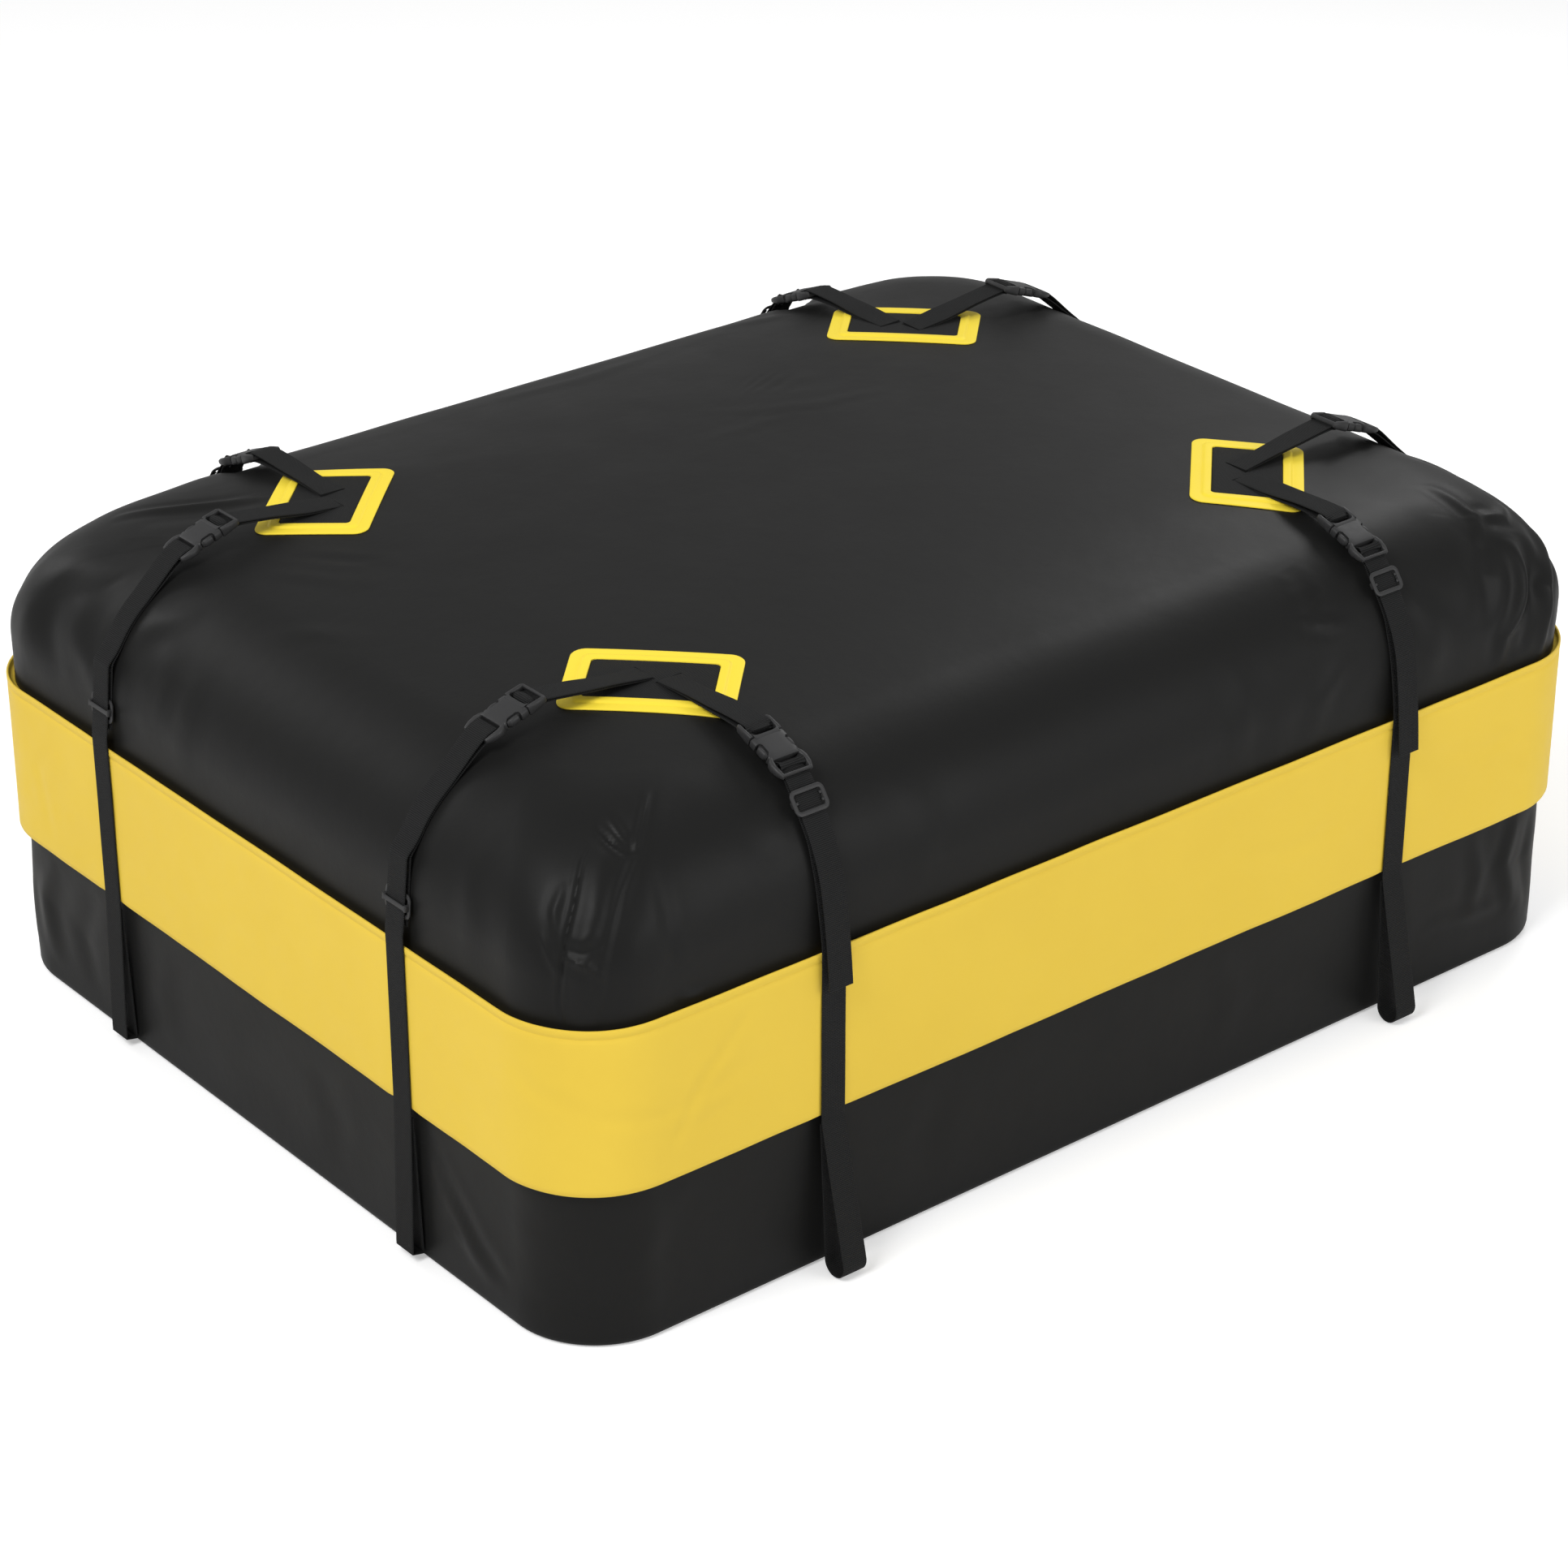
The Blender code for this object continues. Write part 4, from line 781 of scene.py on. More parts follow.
flap_low, flap_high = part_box("zip_flap")
FLAP_PROUD = flap_high[0] - HALF_X
FLAP = 0.0014
FLAP_TOP, FLAP_BOTTOM = flap_high[2], flap_low[2]
FLAP_HEM = 0.0080
BEAD = 0.0007
FLAP_FOLDS = {
    2: (
        (((150, 262), (100, 215), (66, 160)), 4.5, 1),
        (((-20, 210), (60, 196), (170, 214)), 6, 0.5),
        (((-60, 250), (-30, 222), (10, 212)), 6, 0.5),
        (((40, 180), (100, 176), (160, 190)), 5, 0.4),
    ),
    3: (
        (((-330, 262), (-300, 215), (-312, 150)), 6, 0.6),
        (((-420, 220), (-350, 195), (-270, 205)), 6, 0.6),
        (((-200, 240), (-120, 215), (-60, 222)), 6, 0.6),
        (((-100, 200), (-50, 170), (-20, 146)), 6, 0.9),
        (((60, 262), (40, 215), (50, 150)), 6, 0.9),
    ),
    1: (
        (((120, 262), (80, 215), (96, 150)), 6, 0.8),
        (((-100, 255), (-60, 215), (-70, 160)), 6, 0.8),
    ),
    0: (
        (((100, 262), (70, 215), (86, 150)), 6, 0.8),
        (((-120, 255), (-80, 215), (-90, 160)), 6, 0.8),
    ),
}


def yellow_vinyl(name, dark, light, grain_scale):
    """Yellow vinyl coated cloth: fine pebble grain, faint cloudy tone, satin gloss."""
    made, shader, nodes, links = principled(name, light, 0.5)
    shader.inputs["Specular IOR Level"].default_value = 0.16
    place = nodes.new("ShaderNodeTexCoord").outputs["Object"]
    cloudy = noise_node(nodes, links, place, 9.0, 5.0)
    mixed_color(nodes, links, cloudy, dark, light, shader.inputs["Base Color"])
    ranged(nodes, links, noise_node(nodes, links, place, 40.0, 3.0), 0.44, 0.56, shader.inputs["Roughness"])
    pebbles = noise_node(nodes, links, place, grain_scale, 2.0)
    bumped(nodes, links, pebbles, 0.16, 0.0003, shader.inputs["Normal"])
    return made


flap_finish = yellow_vinyl("yellow_vinyl_flap", (0.765, 0.530, 0.058), (0.815, 0.580, 0.066), 1100.0)
inner = FLAP_PROUD - FLAP
hem = FLAP_TOP - FLAP_HEM
section = [(inner, FLAP_BOTTOM), (inner, (FLAP_BOTTOM + FLAP_TOP - FLAP_HEM) / 2), (inner, hem)]
section += [(0.0004, hem), (0.0003, FLAP_TOP - 0.0074), (0.0012, FLAP_TOP - 0.0068)]
section.append((FLAP_PROUD * 0.55, FLAP_TOP - 0.0060))
# Places round the welded bead, as (out from the flap's face, up from its top)
BEAD_SECTION = (
    (-0.0024, -0.0050), (-0.0021, -0.0020), (-0.0015, -0.0012), (-0.0008, -0.0010),
    (-0.0001, -0.0013), (0.0002, -0.0021), (0.0001, -FLAP_HEM + 0.0012), (-BEAD, -FLAP_HEM),
    (-BEAD, -FLAP_HEM - 0.0008), (-0.0002, -FLAP_HEM - 0.0022), (0.0, -FLAP_HEM - 0.0050),
)
section += [(FLAP_PROUD + out, FLAP_TOP + up) for out, up in BEAD_SECTION]
FACE_ROWS = 28
face_top = FLAP_TOP - FLAP_HEM - 0.0050
for step in range(1, FACE_ROWS):
    section.append((FLAP_PROUD, face_top + (FLAP_BOTTOM + 0.0006 - face_top) * step / FACE_ROWS))
section += [(FLAP_PROUD, FLAP_BOTTOM + 0.0005), (FLAP_PROUD - 0.0004, FLAP_BOTTOM)]
section += [(inner + 0.0003, FLAP_BOTTOM)]

flap_places = ring_places(36, 110, 84)
distances = corner_distances(flap_places)
grid, outward = [], []
for offset, z in section:
    ring, normals = ring_points(flap_places, HALF_X + offset, HALF_Y + offset, CORNER_RADIUS + offset)
    grid.append(np.column_stack((ring, np.full(len(ring), z))))
    outward.append(np.column_stack((normals, np.zeros(len(ring)))))
grid, outward = np.array(grid), np.array(outward)
up = grid[..., 2].copy()
hang = np.clip((FLAP_TOP - FLAP_HEM - up) / (FLAP_TOP - FLAP_BOTTOM), 0.0, 1.0)
wave = np.zeros(up.shape)
for turn, lines in FLAP_FOLDS.items():
    across = np.repeat(distances[turn][None, :], len(section), axis=0)
    for line, width, depth in lines:
        wave += fold(across, up, line, width, depth)
flat = grid * np.array((1.0, 1.0, 0.55))
wave += hang ** 0.5 * (0.0013 * cloth_swell(flat, 9.0, 41.0) + 0.0004 * cloth_swell(flat, 34.0, 47.0))
shade = strap_shade(grid, 0.0125, 0.006)
wave = np.minimum(wave, wave * (1 - shade)) - 0.0005 * shade * hang ** 0.3
wave *= (hang > 0.0)
grid += outward * wave[..., None]
edge_drift = np.array([noise.noise(Vector((p[0] * 14.0, p[1] * 14.0, 5.0))) for p in grid[0]])
grid[..., 2] += 0.0007 * edge_drift[None, :] * np.where(up > FLAP_TOP - 0.02, 1.0, 0.6)
mesh = cleaned(grid_mesh("zip_flap_vinyl", np.concatenate((grid, grid[:1]))), SAME_PLACE)
new_piece("zip_flap_vinyl", mesh, flap_finish, "bag", ("zip_flap",))


# Corner patches
# Four moulded vinyl frames are welded on the crown, turned 45 degrees, to spread the straps' pull.
# Each has a thin outer flange, a pressed ridge, and a raised border round its window.

PATCH_BORDER = 0.0175
PATCH_STEP = 0.0100
WELD_GAP = 0.0003
PATCH_SECTION = (
    (0.0000, 0.0120, WELD_GAP), (0.0000, 0.0120, 0.0009), (0.0004, 0.0118, 0.0013), (0.0012, 0.0112, 0.0014),
    (PATCH_STEP - 0.0022, 0.0076, 0.0014), (PATCH_STEP - 0.0010, 0.0070, 0.0012),
    (PATCH_STEP - 0.0002, 0.0066, 0.0014), (PATCH_STEP + 0.0006, 0.0062, 0.0024),
    (PATCH_STEP + 0.0016, 0.0058, 0.0027), (PATCH_STEP + 0.0030, 0.0054, 0.0026),
    (PATCH_BORDER - 0.0012, 0.0044, 0.0026), (PATCH_BORDER - 0.0004, 0.0041, 0.0024),
    (PATCH_BORDER, 0.0040, 0.0019), (PATCH_BORDER, 0.0040, WELD_GAP),
)


def lid_heights(x, y):
    """Height of the lid's smooth surface over each point of the plan."""
    low, high = np.zeros(x.shape), np.full(x.shape, 1.999)
    for _ in range(30):
        middle = (low + high) / 2
        table = np.array([lid_row(level)[:4] for level in middle.ravel()]).reshape(*x.shape, 4)
        over_x = np.maximum(np.abs(x) - (table[..., 0] - table[..., 2]), 0.0)
        over_y = np.maximum(np.abs(y) - (table[..., 1] - table[..., 2]), 0.0)
        inside = np.hypot(over_x, over_y) <= table[..., 2]
        low, high = np.where(inside, middle, low), np.where(inside, high, middle)
    return table[..., 3]


def lid_height_at(x, y):
    """Height of the lid's smooth surface over one point of the plan."""
    return float(lid_heights(np.array([x]), np.array([y]))[0])


def patch_grid(sx, sy, section):
    """Rings of a patch: (inset from its edge, corner radius, height above the lid)."""
    places = ring_places(8, 14, 10, 0.0)
    rings = []
    for inset, radius, _ in section:
        ring, _ = ring_points(places, PATCH_HALF_LENGTH - inset, PATCH_HALF_WIDTH - inset, radius)
        u, v = ring[:, 0], ring[:, 1]
        root = math.sqrt(0.5)
        rings.append(np.column_stack((sx * (PATCH_X + root * (v + u)), sy * (PATCH_Y + root * (v - u)))))
    rings = np.array(rings)
    heights = lid_heights(rings[..., 0], rings[..., 1]) + np.array([row[2] for row in section])[:, None]
    return np.concatenate((rings, heights[..., None]), axis=2)


patch_finish = yellow_vinyl("yellow_vinyl_patch", (0.925, 0.705, 0.051), (0.960, 0.755, 0.058), 1500.0)
for turn, (sx, sy) in enumerate(CORNER_SIGNS):
    grid = patch_grid(sx, sy, PATCH_SECTION)
    mesh = cleaned(grid_mesh("corner_patch_vinyl", np.concatenate((grid, grid[:1]))), SAME_PLACE)
    corner = CORNER_NAMES[turn]
    new_piece("patch_frame_" + corner, mesh, patch_finish, "bag", ("corner_patch_" + corner,))


# Webbing pads
# Ribbed polyester panels fill the patches' windows. The two fixed straps of a corner grow out of them.
# One half has its ribs across the strap to the short side, the other across the strap to the long side.

RIB_PITCH = 0.0015
PAD_INSET = PATCH_BORDER + 0.0005
PAD_TOP = 0.0018


def math_node(nodes, links, operation, source, *values):
    """Result of one sum on a socket and the given values."""
    node = nodes.new("ShaderNodeMath")
    node.operation = operation
    links.new(source, node.inputs[0])
    for index, value in enumerate(values, 1):
        node.inputs[index].default_value = value
    return node.outputs["Value"]


def webbing_tone_and_rib_shade(nodes, links, rib, yarn, shader):
    """Colour and bump shared by all black webbing, from a rib value and a yarn value; the colour's dark end
    is painted shade in the rib grooves, over the yarns' own tone.
    """
    rib_relief_and_groove_shade = math_node(nodes, links, "MULTIPLY_ADD", rib, 0.65)
    links.new(math_node(nodes, links, "MULTIPLY", yarn, 0.35), rib_relief_and_groove_shade.node.inputs[2])
    # Painted shade: the colour is darkest where the ribs' bump is lowest, so the grooves between ribs look
    # shaded; only the yarn share is the webbing's own tone.
    dark, light = (0.0035, 0.0036, 0.0036), (0.0230, 0.0234, 0.0236)
    mixed_color(nodes, links, rib_relief_and_groove_shade, dark, light, shader.inputs["Base Color"])
    bumped(nodes, links, rib_relief_and_groove_shade, 0.9, 0.0006, shader.inputs["Normal"])


def rib_wave(nodes, links, source, pitch):
    """Even ribs across a coordinate, from 0 to 1."""
    turn = math_node(nodes, links, "MULTIPLY", source, math.tau / pitch)
    wave = math_node(nodes, links, "SINE", turn)
    return math_node(nodes, links, "MULTIPLY_ADD", wave, 0.5, 0.5)


def pad_webbing():
    """Pad panel: ribs along Y or X, as the panel's own attribute says."""
    made, shader, nodes, links = principled("black_pad_webbing", (0.018, 0.018, 0.018), 0.72)
    shader.inputs["Specular IOR Level"].default_value = 0.14
    place = nodes.new("ShaderNodeTexCoord").outputs["Object"]
    split = nodes.new("ShaderNodeSeparateXYZ")
    links.new(place, split.inputs["Vector"])
    half = nodes.new("ShaderNodeAttribute")
    half.attribute_name = "rib_half"
    choose = nodes.new("ShaderNodeMix")
    links.new(half.outputs["Fac"], choose.inputs["Factor"])
    links.new(rib_wave(nodes, links, split.outputs["X"], RIB_PITCH), choose.inputs["A"])
    links.new(rib_wave(nodes, links, split.outputs["Y"], RIB_PITCH), choose.inputs["B"])
    yarn = noise_node(nodes, links, place, 2400.0, 2.0)
    webbing_tone_and_rib_shade(nodes, links, choose.outputs["Result"], yarn, shader)
    return made


pad_finish = pad_webbing()
SIDE_ROOT, END_ROOT = PATCH_Y + 0.0070, PATCH_X - 0.0015
SLIT_WIDTH, SLIT, SLIT_DEPTH = 0.0245, 0.0014, 0.0022
PAD_SECTION = [(PAD_INSET, 0.004, WELD_GAP), (PAD_INSET, 0.004, PAD_TOP - 0.0004)]
PAD_SECTION += [(PAD_INSET + 0.0006, 0.0038, PAD_TOP)]
PAD_SECTION += [(PAD_INSET + 0.0024 * step, 0.0036 - 0.00035 * step, PAD_TOP) for step in range(1, 10)]
PAD_SLITS = (
    (STRAP_X, SIDE_ROOT - SLIT / 2, SLIT_WIDTH, SLIT),
    (END_ROOT - SLIT / 2, STRAP_Y, SLIT, SLIT_WIDTH),
)
for turn, (sx, sy) in enumerate(CORNER_SIGNS):
    grid = patch_grid(sx, sy, PAD_SECTION)
    mesh = grid_mesh("webbing_pad", grid, close_first=True, close_last=True)
    work = bmesh.new()
    for x, y, wide, long in PAD_SLITS:
        spot = Matrix.Translation((sx * x, sy * y, lid_height_at(x, y) + PAD_TOP))
        size = Matrix.Diagonal((wide, long, SLIT_DEPTH, 1.0))
        bmesh.ops.create_cube(work, size=1.0, matrix=spot @ size)
    slits = bpy.data.meshes.new("pad_slits")
    work.to_mesh(slits)
    work.free()
    body, tool = bpy.data.objects.new("pad", mesh), bpy.data.objects.new("pad_slits", slits)
    for item in (body, tool):
        bpy.context.scene.collection.objects.link(item)
    cut = body.modifiers.new("slits", "BOOLEAN")
    cut.operation = "DIFFERENCE"
    cut.object = tool
    bpy.context.view_layer.update()
    mesh = bpy.data.meshes.new_from_object(body.evaluated_get(bpy.context.evaluated_depsgraph_get()))
    for item in (body, tool):
        bpy.data.objects.remove(item, do_unlink=True)
    halves = mesh.attributes.new("rib_half", "FLOAT", "FACE")
    for face in mesh.polygons:
        u = (face.center.x * sx - PATCH_X) - (face.center.y * sy - PATCH_Y)
        halves.data[face.index].value = 0.0 if u > 0 else 1.0
    corner = CORNER_NAMES[turn]
    new_piece("pad_panel_" + corner, mesh, pad_finish, "bag", ("webbing_pad_" + corner,))


# Straps
# Black 23 mm polyester webbing, woven with cross ribs and a firm selvedge.
# The fixed straps rise from the pads to the plugs; the loose ones run from the sockets to the tie loops.

WEBBING_WIDTH = 0.023
WEBBING = 0.0013
WEBBING_FIT = 0.00035
GAP = 0.0003
LAYER_GAP = 0.0004
BUCKLE_LENGTH = 0.0585
BUCKLE_BAR = 0.0026
INNER_BAR = 0.0020
INNER_BAR_AT = 0.0110
TAIL_BAR_AT = 0.0130
BAR_HALF = 0.0009
SIDE_SLOPE = math.radians(21.5)
END_SLOPE = math.radians(19.0)
SIDE_INSET, SIDE_LIFT = 0.0892, 0.0135
END_INSET, END_LIFT = 0.1270, 0.0235
THREAD_TURN = math.hypot(INNER_BAR / 2, BAR_HALF) + WEBBING_FIT + WEBBING / 2
ROLL_TURN = 0.0042
ROLL_REACH = ROLL_TURN + 0.0020
ROLL_EASE = 0.0028
ROLL_FADE, ROLL_FLAT_HALF, ROLL_EDGE = 0.0018, 0.0040, 0.0075
PAD_LIFT_LENGTH, PAD_LIFT_END = 0.030, 0.066
PAD_LIFT, PAD_LIFT_DROP = 0.0011, 0.0003
WALL_REST = GAP + WEBBING / 2
GLIDE_BAR_THICKNESS = 0.0016
REAR_LAYER = WEBBING + 2 * WEBBING_FIT + GLIDE_BAR_THICKNESS
ZONE_OFFSET = WALL_REST + REAR_LAYER + 0.0022
ROLL_AT = INNER_BAR_AT + 0.0008
STRAP_HUG = 0.027
SIDE_BEND_LIFT, END_BEND_LIFT = 0.0013, 0.0030
FREE_TAIL_BELOW_FLAP_TOP = 0.0300
STRAIGHT_BEYOND = 0.006
LOOP_JOIN_DROP = 0.0080
LOOP_ABOVE_FLOOR = 0.0012
SIDE_LOOP_RADIUS, SIDE_LOOP_OUT = 0.0110, 0.0240
END_LOOP_RADIUS, END_LOOP_OUT = 0.0050, 0.0068


def shoulder_point(half, degrees_round, offset):
    """A point above the shoulder in a strap's plane: (outward, height)."""
    sweep = math.radians(degrees_round)
    normal = Vector((SHOULDER_RISE * math.cos(sweep), SHOULDER_RUN * math.sin(sweep))).normalized()
    out = half - SHOULDER_RUN * (1 - math.cos(sweep)) + normal.x * offset
    return out, SHOULDER_START + SHOULDER_RISE * math.sin(sweep) + normal.y * offset


# The straight stretches that the adjusters slide on, from high to low
SIDE_ZONE = (
    shoulder_point(HALF_Y, 48.5, ZONE_OFFSET + 0.0045),
    shoulder_point(HALF_Y, 29.5, ZONE_OFFSET + 0.0012),
)
END_ZONE = (shoulder_point(HALF_X, 17.0, ZONE_OFFSET), (HALF_X + ZONE_OFFSET, SHOULDER_START - 0.0186))
SIDE_BUCKLE = (HALF_Y - SIDE_INSET, lid_height_at(0.0, HALF_Y - SIDE_INSET) + SIDE_LIFT)
END_BUCKLE = (HALF_X - END_INSET, lid_height_at(HALF_X - END_INSET, 0.0) + END_LIFT)


def arc(centre, radius, start, end, steps):
    """Points of an arc from one angle to another, in degrees."""
    angles = [math.radians(start + (end - start) * step / steps) for step in range(steps + 1)]
    return [(centre[0] + radius * math.cos(a), centre[1] + radius * math.sin(a)) for a in angles]


def on_buckle(origin, slope, along, above):
    """A point in a strap's plane from its place along the buckle and above its middle."""
    out = origin[0] + along * math.cos(slope) + above * math.sin(slope)
    return out, origin[1] - along * math.sin(slope) + above * math.cos(slope)


def over_thread():
    """Webbing over the end bar, round the inner bar and back: (along, above)."""
    return [(0.0, THREAD_TURN)] + arc((INNER_BAR_AT, 0.0), THREAD_TURN, 90, -90, 10) + [(0.0, -THREAD_TURN)]


def rolled_thread():
    """Webbing over the end bar in a soft round roll, and back under it: (along, above)."""
    roll = arc((ROLL_AT, -0.0002), ROLL_TURN, 98, -82, 14)
    return [(0.0, THREAD_TURN + 0.0010)] + roll + [(0.0, -THREAD_TURN)]


def under_thread(turn):
    """Webbing under the end bar, up over the inner bar and back under: (along, above)."""
    middle = (BUCKLE_BAR + INNER_BAR_AT - INNER_BAR / 2) / 2
    second = -THREAD_TURN - WEBBING - LAYER_GAP
    rise = [(0.0, -THREAD_TURN), (BUCKLE_BAR - LAYER_GAP, -THREAD_TURN), (middle - LAYER_GAP / 2, -BAR_HALF),
            (middle + LAYER_GAP / 2, BAR_HALF)]
    back = [(INNER_BAR_AT - INNER_BAR / 2, -turn), (middle + LAYER_GAP, second), (0.0, second)]
    return rise + arc((INNER_BAR_AT, 0.0), turn, 125, -90, 12) + back


def upper_path(origin, slope, start_out, level, bend, thread):
    """Fixed strap: out of its slit, close over the pad to a slight bend, round the plug's bar, and back."""
    turned = [on_buckle(origin, slope, along, above) for along, above in thread]
    first = (start_out, level + 0.0003)
    last = (start_out + 0.002, level - 0.0007)
    return [first, (bend[0], bend[1] + WEBBING + LAYER_GAP)] + turned + [bend, last]


def tail_path(origin, slope, thread):
    """Webbing round the socket's bars; its inner bar sits further in, under the edge of the waist."""
    further = TAIL_BAR_AT - INNER_BAR_AT
    placed = [(along if along <= BUCKLE_BAR else along + further, above) for along, above in thread]
    return [on_buckle(origin, slope, BUCKLE_LENGTH - along, above) for along, above in placed]


def loop_path(half, front, radius, out):
    """Down the wall, round the tie loop and up to its seam."""
    join = FLAP_BOTTOM - LOOP_JOIN_DROP
    centre = (half + out, LOOP_ABOVE_FLOOR + WEBBING / 2 + radius)
    inner = front - WEBBING - LAYER_GAP
    outer_lean = math.degrees(math.atan2(centre[0] + radius - front, join - centre[1]))
    inner_lean = math.degrees(math.atan2(centre[0] - radius - inner, join - centre[1]))
    return [(front, join)] + arc(centre, radius, outer_lean, -180 + inner_lean, 14) + [(inner, join)]


def glide_zone(zone):
    """Both ends of an adjuster's stretch, and the step from it to the layer of webbing behind it."""
    high, low = Vector(zone[0]), Vector(zone[1])
    direction = (low - high).normalized()
    return high, low, Vector((direction.y, -direction.x)) * REAR_LAYER


def side_lower_path():
    """Loose strap of a long side: free tail, adjuster, socket, then down behind to the tie loop."""
    half = HALF_Y
    high, low, back = glide_zone(SIDE_ZONE)
    flap = half + FLAP_PROUD + GAP + WEBBING / 2
    layer = WEBBING + LAYER_GAP
    tail_end = FLAP_TOP - FREE_TAIL_BELOW_FLAP_TOP
    front = [
        (half + FLAP_PROUD + 0.0095, tail_end), (half + FLAP_PROUD + 0.0068, FLAP_TOP),
        shoulder_point(half, 0.0, ZONE_OFFSET + 0.0026), shoulder_point(half, 14.75, ZONE_OFFSET + 0.0012),
        tuple(low), tuple(high),
    ]
    rear = [tuple(high + back), tuple(low + back)]
    rear += [shoulder_point(half, angle, WALL_REST + LAYER_GAP) for angle in (20.65, 10.325)]
    rear += [(flap - layer / 4, FLAP_TOP + FLAP_HEM), (flap, FLAP_TOP - FLAP_HEM), (flap, FLAP_BOTTOM)]
    thread = tail_path(SIDE_BUCKLE, SIDE_SLOPE, under_thread(THREAD_TURN))
    return front + thread + rear + loop_path(half, flap, SIDE_LOOP_RADIUS, SIDE_LOOP_OUT)


def end_lower_path():
    """Loose strap of a short side: tie loop, up over the adjuster, socket, and back behind."""
    half = HALF_X
    high, low, back = glide_zone(END_ZONE)
    beyond = high + (high - low).normalized() * STRAIGHT_BEYOND
    flap = half + FLAP_PROUD + GAP + WEBBING / 2
    angles = (53.0, 44.0, 35.0, 26.0)
    bends = [shoulder_point(half, angle, WALL_REST + WEBBING + 0.0010) for angle in angles]
    rear = [shoulder_point(half, angle, WALL_REST + LAYER_GAP) for angle in angles]
    down = [(flap, FLAP_BOTTOM), (flap, FLAP_TOP - FLAP_HEM), (flap + WEBBING / 4, FLAP_TOP + FLAP_HEM),
            tuple(low), tuple(high), tuple(beyond)]
    thread = tail_path(END_BUCKLE, END_SLOPE, over_thread())
    last = [tuple(beyond + back), tuple(high + back), tuple(low + back)]
    loop = loop_path(half, flap, END_LOOP_RADIUS, END_LOOP_OUT)
    return loop[::-1] + down + bends[::-1] + thread + rear + last


def rounded_path(points, rounds=3, longest=0.006):
    """Cut the corners of a path a few times, then split its long runs."""
    path = np.array(points, float)
    for _ in range(rounds):
        before, after = path[:-1], path[1:]
        cut = np.empty((2 * len(before), 2))
        cut[0::2] = before * 0.75 + after * 0.25
        cut[1::2] = before * 0.25 + after * 0.75
        path = np.concatenate((path[:1], cut, path[-1:]))
    steps = np.linalg.norm(np.diff(path, axis=0), axis=1)
    path = path[np.concatenate(([True], steps > 0.00015))]
    full = [path[0]]
    for before, after in zip(path[:-1], path[1:]):
        pieces = max(1, math.ceil(np.linalg.norm(after - before) / longest))
        full += [before + (after - before) * step / pieces for step in range(1, pieces + 1)]
    return np.array(full)


def webbing_section():
    """Section of the webbing, as (across, above), with rounded selvedges."""
    half, thick = WEBBING_WIDTH / 2, WEBBING / 2
    top = [(v, thick) for v in np.linspace(-half + 0.0005, half - 0.0005, 9)]
    edge = [(half - 0.0001, thick * 0.55), (half, 0.0), (half - 0.0001, -thick * 0.55)]
    return top + edge + [(-v, -n) for v, n in top] + [(-v, -n) for v, n in edge]


def webbing_strip(name, path, outward, across_at, roll=None, shape=None):
    """Sweep the webbing along a path in a strap's upright plane; roll draws it in, and shape lifts it."""
    route = rounded_path(path)
    tangent = np.gradient(route, axis=0)
    tangent /= np.linalg.norm(tangent, axis=1)[:, None]
    normal = np.column_stack((-tangent[:, 1], tangent[:, 0]))
    run = np.concatenate(([0.0], np.cumsum(np.linalg.norm(np.diff(route, axis=0), axis=1))))
    section = np.array(webbing_section())
    out_axis = np.array(outward, float)
    up_axis = np.array((0.0, 0.0, 1.0))
    across_axis = np.cross(out_axis, up_axis)
    rings, uvs = [], []
    for index, here in enumerate(route):
        lift = np.zeros(len(section)) if shape is None else shape(run[index], section[:, 0], run[-1])
        if roll is not None:
            near = np.clip((ROLL_REACH - math.dist(here, roll)) / ROLL_FADE, 0.0, 1.0)
            edge = np.clip((np.abs(section[:, 0]) - ROLL_FLAT_HALF) / ROLL_EDGE, 0.0, 1.0)
            lift = lift - ROLL_EASE * near * edge ** 2
        flat = here[None, :] + normal[index][None, :] * (section[:, 1] + lift)[:, None]
        drift = 0.0003 * noise.noise(Vector((run[index] * 18.0, across_at[0] * 9.0, across_at[1] * 9.0)))
        ring = np.array(across_at)[None, :] + flat[:, :1] * out_axis + flat[:, 1:] * up_axis
        rings.append(ring + (section[:, :1] + drift) * across_axis)
        uvs.append([(run[index], v) for v in section[:, 0]])
    mesh = ring_mesh(name, rings)
    flat_uvs = [uv for ring in uvs for uv in ring]
    layer = mesh.uv_layers.new(name="webbing")
    for loop in mesh.loops:
        layer.data[loop.index].uv = flat_uvs[loop.vertex_index]
    return mesh


def strap_webbing():
    """Strap webbing: cross ribs and lengthwise yarns, read from the strap's own map."""
    made, shader, nodes, links = principled("black_strap_webbing", (0.018, 0.018, 0.018), 0.74)
    shader.inputs["Specular IOR Level"].default_value = 0.14
    split = nodes.new("ShaderNodeSeparateXYZ")
    uv = nodes.new("ShaderNodeUVMap")
    uv.uv_map = "webbing"
    links.new(uv.outputs["UV"], split.inputs["Vector"])
    ribs = rib_wave(nodes, links, split.outputs["X"], RIB_PITCH)
    yarns = rib_wave(nodes, links, split.outputs["Y"], 0.0012)
    webbing_tone_and_rib_shade(nodes, links, ribs, yarns, shader)
    return made


strap_finish = strap_webbing()
STATIONS = []
for turn, (sx, sy) in enumerate(CORNER_SIGNS):
    STATIONS.append((CORNER_NAMES[turn] + "_end", "end", (sx, 0, 0), (0.0, sy * STRAP_Y, 0.0), sy))
    STATIONS.append((CORNER_NAMES[turn] + "_side", "side", (0, sy, 0), (sx * STRAP_X, 0.0, 0.0), sx))


